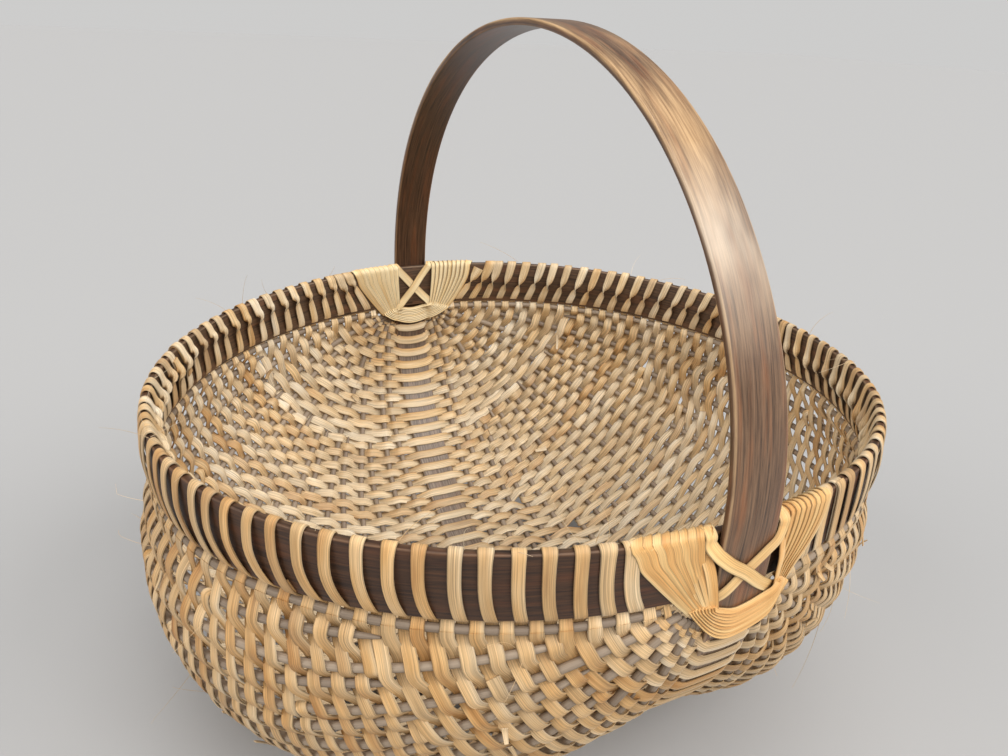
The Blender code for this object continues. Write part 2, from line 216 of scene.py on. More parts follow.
# length of the cheek's surface from the rim to the spine at each part
girthTable = []
for part in partSteps:
    shares = np.linspace(0, 1, 60)
    points = cheekPoint(angleAt(np.full(60, part), shares), shares, 1.0)
    girthTable.append(np.linalg.norm(np.diff(points, axis=0), axis=1).sum())


# Angles closer to the ear than the first row: the ribs run on below the lashing to a point.
def earAngle(part, share):
    inside = np.where(part < 0.5, part, 1 - part)
    angle = angleAt(np.clip(part, 0, 1), share)
    shrink = np.clip(1 + np.minimum(inside, 0) * 16.0, 0.12, 1)
    return np.where(part < 0.5, angle * shrink, math.pi - (math.pi - angle) * shrink)


print("surface ready")


# Sweeping a section along a path

class Bundle:
    def __init__(self):
        self.points = []
        self.faces = []
        self.uvs = []
        self.tones = []
        self.edges = []
        self.outers = []
        self.count = 0

    # profile: (across, up) pairs, anticlockwise seen against the travel; scale: one or two numbers a point.
    def sweep(self, path, across, profile, scale=1.0, tone=0.5, seed=0.0, capped=True):
        path = np.asarray(path, float)
        n = len(path)
        travel = unit(np.gradient(path, axis=0))
        side = unit(across - travel * np.sum(across * travel, axis=1, keepdims=True))
        up = np.cross(side, travel)
        profile = np.asarray(profile, float)
        m = len(profile)
        scale = np.broadcast_to(np.asarray(scale, float), (n,)) if np.ndim(scale) < 2 else np.asarray(scale)
        wide, thick = (scale, scale) if scale.ndim == 1 else (scale[:, 0], scale[:, 1])
        rings = (path[:, None] + side[:, None] * (profile[None, :, 0] * wide[:, None])[..., None]
                 + up[:, None] * (profile[None, :, 1] * thick[:, None])[..., None])
        outward = unit(path - np.array((0, 0, basket["middleHeight"])))
        outer = np.sum((rings - path[:, None]) * outward[:, None], axis=2) / splint["thickness"]
        self.outers.append(np.clip(0.5 + outer, 0, 1).ravel())
        run = np.concatenate(([0.0], np.cumsum(np.linalg.norm(np.diff(path, axis=0), axis=1))))
        girth = np.concatenate(([0.0], np.cumsum(np.linalg.norm(np.roll(profile, -1, axis=0) - profile, axis=1))))
        base = self.count
        self.points.append(rings.reshape(-1, 3))
        self.count += n * m
        i = np.arange(n - 1)[:, None]
        j = np.arange(m)[None, :]
        k = (j + 1) % m
        a = base + i * m + j
        b = base + i * m + k
        c = base + (i + 1) * m + k
        d = base + (i + 1) * m + j
        self.faces += [tuple(q) for q in np.stack([a, b, c, d], axis=-1).reshape(-1, 4).tolist()]
        u0 = np.broadcast_to(girth[:-1][None], (n - 1, m)) + seed * 0.37
        u1 = np.broadcast_to(girth[1:][None], (n - 1, m)) + seed * 0.37
        v0 = np.broadcast_to(run[:-1][:, None], (n - 1, m)) + seed
        v1 = np.broadcast_to(run[1:][:, None], (n - 1, m)) + seed
        quad = np.stack([np.stack([u0, v0], -1), np.stack([u1, v0], -1), np.stack([u1, v1], -1), np.stack([u0, v1], -1)], axis=2)
        self.uvs.append(quad.reshape(-1, 2))
        if capped:
            for ring, turn in ((0, -1), (n - 1, 1)):
                self.faces.append(tuple(base + ring * m + q for q in (range(m) if turn > 0 else reversed(range(m)))))
                self.uvs.append(profile[::turn] + (seed * 0.37, seed))
        self.edges.append(np.tile(np.abs(profile[:, 0]) / np.abs(profile[:, 0]).max(), n))
        self.tones.append(np.full(n * m, tone) if np.ndim(tone) == 0 else np.repeat(np.asarray(tone), m))

    def make(self, name, material):
        mesh = bpy.data.meshes.new(name)
        mesh.from_pydata(np.concatenate(self.points).tolist(), [], self.faces)
        uvMap = mesh.uv_layers.new(name="lengthwise")
        uvMap.data.foreach_set("uv", np.concatenate(self.uvs).ravel())
        tone = mesh.attributes.new("tone", "FLOAT", "POINT")
        tone.data.foreach_set("value", np.concatenate(self.tones))
        edge = mesh.attributes.new("edge", "FLOAT", "POINT")
        edge.data.foreach_set("value", np.concatenate(self.edges))
        outer = mesh.attributes.new("outer", "FLOAT", "POINT")
        outer.data.foreach_set("value", np.concatenate(self.outers))
        mesh.validate()
        piece = bpy.data.objects.new(name, mesh)
        bpy.context.scene.collection.objects.link(piece)
        mesh.shade_smooth()
        mesh.set_sharp_from_angle(angle=math.radians(38))
        mesh.materials.append(material)
        return piece


def finishPiece(piece, slotName, *nodes):
    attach(piece, "root")
    if nodes:
        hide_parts(*nodes)
    return piece


# Flat splint: 6.2 mm wide and a millimetre thick, its long edges eased.
splint = {"width": 0.0062, "thickness": 0.0009, "ease": 0.0004}


def splintProfile(width=1.0, thickness=1.0):
    w = splint["width"] / 2 * width
    t = splint["thickness"] / 2 * thickness
    e = splint["ease"]
    return [(w, 0), (w - e, t), (0, t * 1.08), (-w + e, t), (-w, 0), (-w + e, -t), (0, -t * 1.05), (w - e, -t)]


# Materials

def newMaterial(name):
    material = bpy.data.materials.new(name)
    material.use_nodes = True
    tree = material.node_tree
    shader = tree.nodes["Principled BSDF"]
    return material, tree, shader


# Split white oak or reed, dried and aged: straight fine fibres run its length, no pores show, and the
# surface is matte with a faint straw sheen.
def makeSplint(name, colours, roughness, weathering, outerTint, edgeShade, fibreShade):
    material, tree, shader = newMaterial(name)
    uv = addNode(tree, "ShaderNodeUVMap", {"uv_map": "lengthwise"}).outputs["UV"]
    tone = addNode(tree, "ShaderNodeAttribute", {"attribute_name": "tone"}).outputs["Fac"]
    # fibres 0.45 mm apart and some 60 mm long
    fibreMap = addNode(tree, "ShaderNodeMapping", {"Scale": (2200.0, 16.0, 1.0)}, {"Vector": uv})
    fibre = addNode(tree, "ShaderNodeTexNoise", {"Scale": 1.0, "Detail": 3.0, "Roughness": 0.6},
                    {"Vector": fibreMap.outputs["Vector"]})
    # slow change of colour, a few centimetres long
    slowMap = addNode(tree, "ShaderNodeMapping", {"Scale": (180.0, 28.0, 1.0)}, {"Vector": uv})
    slow = addNode(tree, "ShaderNodeTexNoise", {"Scale": 1.0, "Detail": 2.0, "Roughness": 0.5},
                   {"Vector": slowMap.outputs["Vector"]})
    mixTone = addNode(tree, "ShaderNodeMath", {"operation": "MULTIPLY_ADD", 1: 0.8, 2: -0.40},
                      {0: slow.outputs["Fac"]})
    added = addNode(tree, "ShaderNodeMath", {"operation": "ADD", "use_clamp": True},
                    {0: tone, 1: mixTone.outputs[0]})
    ramp = addNode(tree, "ShaderNodeValToRGB", {}, {"Fac": added.outputs[0]})
    elements = ramp.color_ramp.elements
    elements[0].position = 0.0
    elements[0].color = srgb(colours[0])
    elements[1].position = 1.0
    elements[1].color = srgb(colours[-1])
    for i, code in enumerate(colours[1:-1]):
        element = elements.new((i + 1) / (len(colours) - 1))
        element.color = srgb(code)
    fibreRamp = addNode(tree, "ShaderNodeMapRange", {"From Min": 0.33, "From Max": 0.70, "To Min": fibreShade, "To Max": 1.16},
                        {"Value": fibre.outputs["Fac"]})
    # each splint's long edges are painted darker: painted shade for the shadowed gaps between neighbouring strands
    edge = addNode(tree, "ShaderNodeAttribute", {"attribute_name": "edge"}).outputs["Fac"]
    edgePaintedShade = addNode(tree, "ShaderNodeMapRange", {"From Min": 0.78, "From Max": 1.0, "To Min": 1.0, "To Max": edgeShade},
                        {"Value": edge})
    both = addNode(tree, "ShaderNodeMath", {"operation": "MULTIPLY"},
                   {0: fibreRamp.outputs["Result"], 1: edgePaintedShade.outputs["Result"]})
    # dust lies in the bottom and takes some of the gold away
    place = addNode(tree, "ShaderNodeTexCoord").outputs["Object"]
    height = addNode(tree, "ShaderNodeSeparateXYZ", {}, {0: place}).outputs["Z"]
    dust = addNode(tree, "ShaderNodeMapRange", {"From Min": 0.02, "From Max": 0.16, "To Min": 0.42, "To Max": 0.0},
                   {"Value": height})
    # some stretches have weathered from gold to a paler grey-beige, a hand's breadth at a time
    paleMap = addNode(tree, "ShaderNodeMapping", {"Scale": (30.0, 7.0, 1.0)}, {"Vector": uv})
    pale = addNode(tree, "ShaderNodeTexNoise", {"Scale": 1.0, "Detail": 1.0}, {"Vector": paleMap.outputs["Vector"]})
    paleShare = addNode(tree, "ShaderNodeMapRange", {"From Min": 0.42, "From Max": 0.66, "To Min": 0.0, "To Max": weathering},
                        {"Value": pale.outputs["Fac"]})
    weathered = addNode(tree, "ShaderNodeMix", {"data_type": "RGBA"},
                        {0: paleShare.outputs["Result"], 6: ramp.outputs["Color"]})
    weathered.inputs[7].default_value = srgb("#cfbc9e")
    dusty = addNode(tree, "ShaderNodeMix", {"data_type": "RGBA"}, {0: dust.outputs["Result"], 6: weathered.outputs[2]})
    dusty.inputs[7].default_value = srgb("#d6c3a4")
    # the faces that look out of the basket are handled, and have gone a deeper gold
    outer = addNode(tree, "ShaderNodeAttribute", {"attribute_name": "outer"}).outputs["Fac"]
    handled = addNode(tree, "ShaderNodeMix", {"data_type": "RGBA", "blend_type": "MULTIPLY"},
                      {0: outer, 6: dusty.outputs[2]})
    handled.inputs[7].default_value = srgb(outerTint)
    shade = addNode(tree, "ShaderNodeMix", {"data_type": "RGBA", "blend_type": "MULTIPLY"})
    shade.inputs[0].default_value = 1.0
    tree.links.new(handled.outputs[2], shade.inputs[6])
    tree.links.new(both.outputs[0], shade.inputs[7])
    tree.links.new(shade.outputs[2], shader.inputs["Base Color"])
    rough = addNode(tree, "ShaderNodeMapRange", {"To Min": roughness - 0.08, "To Max": roughness + 0.1},
                    {"Value": fibre.outputs["Fac"]})
    tree.links.new(rough.outputs["Result"], shader.inputs["Roughness"])
    bump = addNode(tree, "ShaderNodeBump", {"Strength": 0.35, "Distance": 0.0003}, {"Height": fibre.outputs["Fac"]})
    tree.links.new(bump.outputs["Normal"], shader.inputs["Normal"])
    shader.inputs["Specular IOR Level"].default_value = 0.35
    return material


# Round ribs of weathered oak: grey-brown, with the grain open along them.
def makeRibWood():
    material, tree, shader = newMaterial("weatheredRibWood")
    uv = addNode(tree, "ShaderNodeUVMap", {"uv_map": "lengthwise"}).outputs["UV"]
    tone = addNode(tree, "ShaderNodeAttribute", {"attribute_name": "tone"}).outputs["Fac"]
    grainMap = addNode(tree, "ShaderNodeMapping", {"Scale": (1400.0, 22.0, 1.0)}, {"Vector": uv})
    grain = addNode(tree, "ShaderNodeTexNoise", {"Scale": 1.0, "Detail": 4.0, "Roughness": 0.65},
                    {"Vector": grainMap.outputs["Vector"]})
    mixTone = addNode(tree, "ShaderNodeMath", {"operation": "MULTIPLY_ADD", 1: 0.7, 2: -0.35},
                      {0: grain.outputs["Fac"]})
    added = addNode(tree, "ShaderNodeMath", {"operation": "ADD", "use_clamp": True}, {0: tone, 1: mixTone.outputs[0]})
    ramp = addNode(tree, "ShaderNodeValToRGB", {}, {"Fac": added.outputs[0]})
    ramp.color_ramp.elements[0].color = srgb("#5b4b3e")
    ramp.color_ramp.elements[1].color = srgb("#b19d86")
    tree.links.new(ramp.outputs["Color"], shader.inputs["Base Color"])
    bump = addNode(tree, "ShaderNodeBump", {"Strength": 0.4, "Distance": 0.0003}, {"Height": grain.outputs["Fac"]})
    tree.links.new(bump.outputs["Normal"], shader.inputs["Normal"])
    shader.inputs["Roughness"].default_value = 0.6
    return material


# Bent oak bands, handled and smoke-dark: fine long grain with orange streaks, rubbed to a pale golden brown
# where hands go, and worn to a dull gloss.
def makeHoopWood(name, colours, faceTintsAndShade, roughness, rubbedShare):
    material, tree, shader = newMaterial(name)
    uv = addNode(tree, "ShaderNodeUVMap", {"uv_map": "lengthwise"}).outputs["UV"]
    # pores about a millimetre apart and 40 mm long
    grainMap = addNode(tree, "ShaderNodeMapping", {"Scale": (800.0, 24.0, 1.0)}, {"Vector": uv})
    grain = addNode(tree, "ShaderNodeTexNoise", {"Scale": 1.0, "Detail": 6.0, "Roughness": 0.70, "Distortion": 0.15},
                    {"Vector": grainMap.outputs["Vector"]})
    ramp = addNode(tree, "ShaderNodeValToRGB", {}, {"Fac": grain.outputs["Fac"]})
    ramp.color_ramp.elements[0].position = 0.34
    ramp.color_ramp.elements[0].color = srgb(colours["dark"])
    ramp.color_ramp.elements[1].position = 0.64
    ramp.color_ramp.elements[1].color = srgb(colours["middle"])
    # orange streaks, 6 mm wide and 70 mm long
    streakMap = addNode(tree, "ShaderNodeMapping", {"Scale": (170.0, 15.0, 1.0)}, {"Vector": uv})
    streakNoise = addNode(tree, "ShaderNodeTexNoise", {"Scale": 1.0, "Detail": 3.0, "Roughness": 0.55},
                          {"Vector": streakMap.outputs["Vector"]})
    streakRange = addNode(tree, "ShaderNodeMapRange",
                          {"From Min": 0.5, "From Max": 0.72, "To Min": 0.0, "To Max": 0.5},
                          {"Value": streakNoise.outputs["Fac"]})
    mix = addNode(tree, "ShaderNodeMix", {"data_type": "RGBA"},
                  {0: streakRange.outputs["Result"], 6: ramp.outputs["Color"]})
    mix.inputs[7].default_value = srgb(colours["streak"])
    # rubbed patches a hand's breadth long, most of them high on the handle
    place = addNode(tree, "ShaderNodeTexCoord").outputs["Object"]
    height = addNode(tree, "ShaderNodeSeparateXYZ", {}, {0: place}).outputs["Z"]
    outer = addNode(tree, "ShaderNodeAttribute", {"attribute_name": "outer"}).outputs["Fac"]
    edge = addNode(tree, "ShaderNodeAttribute", {"attribute_name": "edge"}).outputs["Fac"]
    patchMap = addNode(tree, "ShaderNodeMapping", {"Scale": (50.0, 11.0, 1.0)}, {"Vector": uv})
    patch = addNode(tree, "ShaderNodeTexNoise", {"Scale": 1.0, "Detail": 3.0}, {"Vector": patchMap.outputs["Vector"]})
    patchShare = addNode(tree, "ShaderNodeMapRange", {"From Min": 0.36, "From Max": 0.60, "To Min": 0.0, "To Max": rubbedShare},
                         {"Value": patch.outputs["Fac"]})
    high = addNode(tree, "ShaderNodeMapRange", {"From Min": 0.345, "From Max": 0.390, "To Min": 0.06, "To Max": 1.0},
                   {"Value": height})
    crown = addNode(tree, "ShaderNodeMapRange", {"From Min": 0.435, "From Max": 0.470, "To Min": 1.0, "To Max": 0.5},
                    {"Value": height})
    held = addNode(tree, "ShaderNodeMath", {"operation": "MULTIPLY"},
                   {0: high.outputs["Result"], 1: crown.outputs["Result"]})
    rubbed = addNode(tree, "ShaderNodeMath", {"operation": "MULTIPLY"},
                     {0: patchShare.outputs["Result"], 1: held.outputs[0]})
    rubbedOutside = addNode(tree, "ShaderNodeMath", {"operation": "MULTIPLY"}, {0: rubbed.outputs[0], 1: outer})
    worn = addNode(tree, "ShaderNodeMath", {"operation": "MULTIPLY_ADD", "use_clamp": True, 1: 0.55},
                   {0: edge, 2: rubbedOutside.outputs[0]})
    rubbedRamp = addNode(tree, "ShaderNodeValToRGB", {}, {"Fac": grain.outputs["Fac"]})
    rubbedRamp.color_ramp.elements[0].position = 0.34
    rubbedRamp.color_ramp.elements[0].color = srgb(colours["rubbedDark"])
    rubbedRamp.color_ramp.elements[1].position = 0.62
    rubbedRamp.color_ramp.elements[1].color = srgb(colours["rubbed"])
    # the near post is paler below the arch: partly bleached wood, partly a painted highlight where light glances off it
    alongX = addNode(tree, "ShaderNodeSeparateXYZ", {}, {0: place}).outputs["X"]
    bleachAndHighlightX = addNode(tree, "ShaderNodeMapRange", {"From Min": 0.15, "From Max": 0.185, "To Min": 0.0, "To Max": 0.75},
                      {"Value": alongX})
    bleachAndHighlight = addNode(tree, "ShaderNodeMath", {"operation": "MULTIPLY"}, {0: bleachAndHighlightX.outputs["Result"], 1: high.outputs["Result"]})
    bleachedAndHighlit = addNode(tree, "ShaderNodeMix", {"data_type": "RGBA"}, {0: bleachAndHighlight.outputs[0], 6: rubbedRamp.outputs["Color"]})
    bleachedAndHighlit.inputs[7].default_value = srgb("#cbb9a4")
    rubbedMix = addNode(tree, "ShaderNodeMix", {"data_type": "RGBA"},
                        {0: worn.outputs[0], 6: mix.outputs[2], 7: bleachedAndHighlit.outputs[2]})
    # the faces that look out and in are tinted differently: on the handle the inner face is darkened as painted shade,
    # on the rim the two faces have aged to different colours
    faceTintAndShade = addNode(tree, "ShaderNodeMix", {"data_type": "RGBA"}, {0: outer})
    faceTintAndShade.inputs[6].default_value = srgb(faceTintsAndShade[0])
    faceTintAndShade.inputs[7].default_value = srgb(faceTintsAndShade[1])
    faceTintedAndShaded = addNode(tree, "ShaderNodeMix", {"data_type": "RGBA", "blend_type": "MULTIPLY"},
                     {6: rubbedMix.outputs[2], 7: faceTintAndShade.outputs[2]})
    faceTintedAndShaded.inputs[0].default_value = 1.0
    # below the rim the wood was never handled: duller and greyer
    below = addNode(tree, "ShaderNodeMapRange", {"From Min": 0.17, "From Max": 0.21, "To Min": 0.62, "To Max": 0.0},
                    {"Value": height})
    grainGrey = addNode(tree, "ShaderNodeValToRGB", {}, {"Fac": grain.outputs["Fac"]})
    grainGrey.color_ramp.elements[0].position = 0.35
    grainGrey.color_ramp.elements[0].color = srgb("#5a4d41")
    grainGrey.color_ramp.elements[1].position = 0.65
    grainGrey.color_ramp.elements[1].color = srgb("#a8957f")
    unhandled = addNode(tree, "ShaderNodeMix", {"data_type": "RGBA"},
                        {0: below.outputs["Result"], 6: faceTintedAndShaded.outputs[2], 7: grainGrey.outputs["Color"]})
    tree.links.new(unhandled.outputs[2], shader.inputs["Base Color"])
    rough = addNode(tree, "ShaderNodeMapRange", {"To Min": roughness - 0.1, "To Max": roughness + 0.14},
                    {"Value": grain.outputs["Fac"]})
    tree.links.new(rough.outputs["Result"], shader.inputs["Roughness"])
    bump = addNode(tree, "ShaderNodeBump", {"Strength": 0.4, "Distance": 0.0004}, {"Height": grain.outputs["Fac"]})
    tree.links.new(bump.outputs["Normal"], shader.inputs["Normal"])
    return material


# the second-to-last number sets how dark the strands' edges are painted, as painted shade in the gaps between them
splintGold = makeSplint("agedSplint", ("#8a6038", "#ca9a61", "#ebc894", "#f8e0ba", "#fff3dc"), 0.52, 0.50, "#ebd9c0", 0.50, 0.55)
lashingGold = makeSplint("lashingSplint", ("#ab773e", "#d8a466", "#eec58a", "#f9dca6", "#ffe9bc"), 0.46, 0.10, "#f3e0c6", 0.40, 0.70)
ribWood = makeRibWood()
# the handle's first tint darkens its inner faces as painted shade
handleWood = makeHoopWood("wornHandleOak", {"dark": "#33241a", "middle": "#7d5e46", "streak": "#9c5f36",
                                            "rubbedDark": "#94714f", "rubbed": "#d2ad80"}, ("#c6bab2", "#ffffff"), 0.32, 0.95)
rimWood = makeHoopWood("smokedRimOak", {"dark": "#281b12", "middle": "#71563f", "streak": "#87593a",
                                        "rubbedDark": "#6f5640", "rubbed": "#a58a6b"}, ("#e6e2de", "#c0a892"), 0.50, 0.0)
print("materials ready")


# Hoops

def hoopUv(piece, middle, turnAxis):
    mesh = piece.data
    uvMap = mesh.uv_layers.new(name="lengthwise") if "lengthwise" not in mesh.uv_layers else mesh.uv_layers["lengthwise"]
    mesh.uv_layers.active = uvMap
    for face in mesh.polygons:
        centre = face.center
        if turnAxis == "Y":
            heading = math.atan2(centre.z - middle.z, centre.x)
        else:
            heading = math.atan2(centre.y, centre.x)
        for corner in face.loop_indices:
            p = mesh.vertices[mesh.loops[corner].vertex_index].co
            if turnAxis == "Y":
                angle = math.atan2(p.z - middle.z, p.x)
                radius = math.hypot(p.x, p.z - middle.z)
                side = p.y
            else:
                angle = math.atan2(p.y, p.x)
                radius = math.hypot(p.x, p.y)
                side = p.z
            if angle - heading > math.pi:
                angle -= 2 * math.pi
            if heading - angle > math.pi:
                angle += 2 * math.pi
            uvMap.data[corner].uv = (side + radius * 0.5, angle * 0.23)


# Which faces look out of the hoop, and where its rounded edges are.
def markFaces(piece, flatAxis, middle):
    mesh = piece.data
    outer = mesh.attributes.new("outer", "FLOAT", "POINT")
    edge = mesh.attributes.new("edge", "FLOAT", "POINT")
    for i, vertex in enumerate(mesh.vertices):
        away = vertex.co - middle
        away[flatAxis] = 0.0
        outer.data[i].value = 1.0 if vertex.normal.dot(away) > 0 else 0.0
        edge.data[i].value = 1.0 if 0.35 < abs(vertex.normal[flatAxis]) < 0.93 else 0.0


def superOval(angle, halfX, halfY, roundness):
    power = 2 / roundness
    c = math.cos(angle)
    s = math.sin(angle)
    return halfX * math.copysign(abs(c) ** power, c), halfY * math.copysign(abs(s) ** power, s)


handleLook = {"archSteps": 96, "bellySteps": 96, "edge": 0.0014, "flare": 0.0035, "flareEnd": 0.15}


def makeHandle():
    outline = []
    for i in range(handleLook["archSteps"] + 1):
        outline.append(superOval(math.pi * i / handleLook["archSteps"], handleInside, basket["handleRise"],
                                 basket["handleRoundness"]))
    deep = basket["spineDepth"] - earLevel
    for i in range(handleLook["bellySteps"] + 1):
        x, z = superOval(math.pi * (1 - i / handleLook["bellySteps"]), handleInside, deep, basket["spineRoundness"])
        outline.append((x, -earLevel - z))
    deselect()
    bpy.ops.mesh.primitive_circle_add(vertices=len(outline), radius=1.0, fill_type="NOTHING")
    hoop = bpy.context.object
    hoop.name = "handleHoop"
    hoop.data.name = "handleHoop"
    for vertex, (x, z) in zip(hoop.data.vertices, outline):
        vertex.co = (x, -basket["handleWidth"] / 2, z + rimTop)
    bpy.ops.object.mode_set(mode="EDIT")
    bpy.ops.mesh.select_all(action="SELECT")
    bpy.ops.mesh.extrude_region_move(TRANSFORM_OT_translate={"value": (0, basket["handleWidth"], 0)})
    bpy.ops.mesh.select_all(action="SELECT")
    bpy.ops.mesh.normals_make_consistent(inside=False)
    bpy.ops.object.mode_set(mode="OBJECT")
    shell = hoop.modifiers.new("thickness", "SOLIDIFY")
    shell.thickness = basket["handleThickness"]
    shell.offset = 1.0
    shell.use_even_offset = True
    easing = hoop.modifiers.new("worn edges", "BEVEL")
    easing.width = handleLook["edge"]
    easing.segments = 3
    easing.angle_limit = math.radians(40)
    for name in ("thickness", "worn edges"):
        bpy.ops.object.modifier_apply(modifier=name)
    # by the front ear the band is a little wider on its right-hand edge
    for vertex in hoop.data.vertices:
        if vertex.co.x > 0 and vertex.co.y > 0:
            near = float(smoothStep((handleLook["flareEnd"] - abs(vertex.co.z - rimTop)) / handleLook["flareEnd"]))
            vertex.co.y += handleLook["flare"] * near
    hoopUv(hoop, Vector((0, 0, rimTop)), "Y")
    markFaces(hoop, 1, Vector((0, 0, rimTop)))
    hoop.data.materials.append(handleWood)
    hoop.data.shade_smooth()
    return finishPiece(hoop, "handle_wood", "handle_hoop")


rimLook = {"steps": 160, "edge": 0.0012}


def makeRim():
    deselect()
    bpy.ops.mesh.primitive_circle_add(vertices=rimLook["steps"], radius=1.0, fill_type="NOTHING")
    hoop = bpy.context.object
    hoop.name = "rimHoop"
    hoop.data.name = "rimHoop"
    for i, vertex in enumerate(hoop.data.vertices):
        x, y = superOval(2 * math.pi * i / rimLook["steps"], basket["rimHalfLength"] - basket["rimThickness"],
                         basket["rimHalfWidth"] - basket["rimThickness"], basket["rimRoundness"])
        vertex.co = (x, y, rimLevel(y) + rimTop)
    bpy.ops.object.mode_set(mode="EDIT")
    bpy.ops.mesh.select_all(action="SELECT")
    bpy.ops.mesh.extrude_region_move(TRANSFORM_OT_translate={"value": (0, 0, -basket["rimHeight"])})
    bpy.ops.mesh.select_all(action="SELECT")
    bpy.ops.mesh.normals_make_consistent(inside=False)
    bpy.ops.object.mode_set(mode="OBJECT")
    shell = hoop.modifiers.new("thickness", "SOLIDIFY")
    shell.thickness = basket["rimThickness"]
    shell.offset = 1.0
    shell.use_even_offset = True
    easing = hoop.modifiers.new("worn edges", "BEVEL")
    easing.width = rimLook["edge"]
    easing.segments = 3
    easing.angle_limit = math.radians(40)
    for name in ("thickness", "worn edges"):
        bpy.ops.object.modifier_apply(modifier=name)
    hoopUv(hoop, Vector((0, 0, rimTop)), "Z")
    markFaces(hoop, 2, Vector((0, 0, rimTop)))
    hoop.data.materials.append(rimWood)
    hoop.data.shade_smooth()
    return finishPiece(hoop, "rim_wood", "rim_hoop")


makeHandle()
makeRim()
print("hoops done")


# Rows

weave = {"rows": 95, "earRows": 2, "over": 0.0029, "spineOver": 0.0029, "stepsPerRib": 7, "rimOut": 0.0031, "bulge": 0.0022,
         "widest": 0.0099, "spinePitch": 0.0070, "sag": (0.0010, 0.0070, 0.09), "crowded": (0.0450, 0.0605, 0.0850), "strandLength": 1.45, "overlap": 0.05}

# Short rows that fill the cheeks, where the ribs are longer than the rim and the spine. Each turns round
# one rib near the rim and another near the spine: (after which row, first rib, last rib).
shortRows = {
    -1: ((27, 4, 12), (33, 1, 15), (39, 3, 13), (45, 2, 16), (50, 6, 10), (56, 1, 14), (62, 4, 13)),
    1: ((29, 2, 14), (34, 5, 11), (40, 1, 15), (46, 3, 13), (52, 1, 16), (58, 4, 12), (64, 3, 14)),
}


def presence(pair, share):
    after, firstRib, lastRib = pair
    soft = 0.035
    return (smoothStep((share - ribShares[firstRib] + soft) / (2 * soft))
            * smoothStep((ribShares[lastRib] + soft - share) / (2 * soft)))


# Part of the way from the front ear's lashing to the back one's at which a row crosses a given share.
# A row that isn't whole lies after its number by `step`, 0.5 or 1.5 of the pair.
def rowPart(row, share, side, pair=None, step=0.5):
    total = weave["rows"] + 0.0 * share
    before = row + 0.5 + 0.0 * share
    for other in shortRows[side]:
        weight = 2 * presence(other, share)
        total = total + weight
        if pair is None and other[0] < row:
            before = before + weight
        if pair is not None and other[0] < pair[0]:
            before = before + weight
    if pair is not None:
        before = before + 0.5 + step * presence(pair, share)
    return before / total


# Every fourth rib and the one beside the spine start at the ear. The others come in further on, in two
# stages, close beside the rib above them at first.
ribStart = {"middleRows": (7, 88), "lateRows": (20, 77), "closeness": 0.30, "spread": 0.16, "earZone": 0.12,
            "spineGap": (0.0040, 0.060, 0.0110)}
lastRib = basket["ribsPerSide"] - 1


def ribRows(k):
    if k % 4 == 0 or k == lastRib:
        return None
    return ribStart["middleRows"] if k % 4 == 2 else ribStart["lateRows"]


def ribSpan(k, side):
    first, last = ribRows(k)
    share = ribShares[k]
    return float(rowPart(first - 0.8, share, side)), float(rowPart(last + 0.8, share, side))


# By the ears the last rib keeps a few millimetres from the spine, and the first ribs spread out evenly.
def ribShare(k, part, side):
    part = np.asarray(part, float)
    inside = np.clip(np.minimum(part, 1 - part), 0, 0.5)
    least, slope, most = ribStart["spineGap"]
    edge = 1 - np.minimum(least + slope * inside, most) / np.interp(part, partSteps, girthTable)
    even = ribShares[k] / ribShares[lastRib]
    spread = np.interp(even, (0, 0.235, 0.47, 0.706, 0.941, 1), (0, 0.21, 0.42, 0.62, 0.83, 1))
    near = 1 - smoothStep(inside / ribStart["earZone"])
    share = edge * (even * (1 - near) + spread * near)
    if ribRows(k):
        first, last = ribSpan(k, side)
        away = smoothStep(np.minimum(part - first, last - part) / ribStart["spread"])
        share = share - ribSpacing * ribStart["closeness"] * (1 - away)
    return share


# Ribs

ribLook = {"steps": 110, "sides": 10, "tuck": 0.032, "shortTuck": 0.008, "taper": 0.010, "blunt": 0.78, "sharp": 0.30, "sharpLength": 0.022}
rng = random.Random(7)


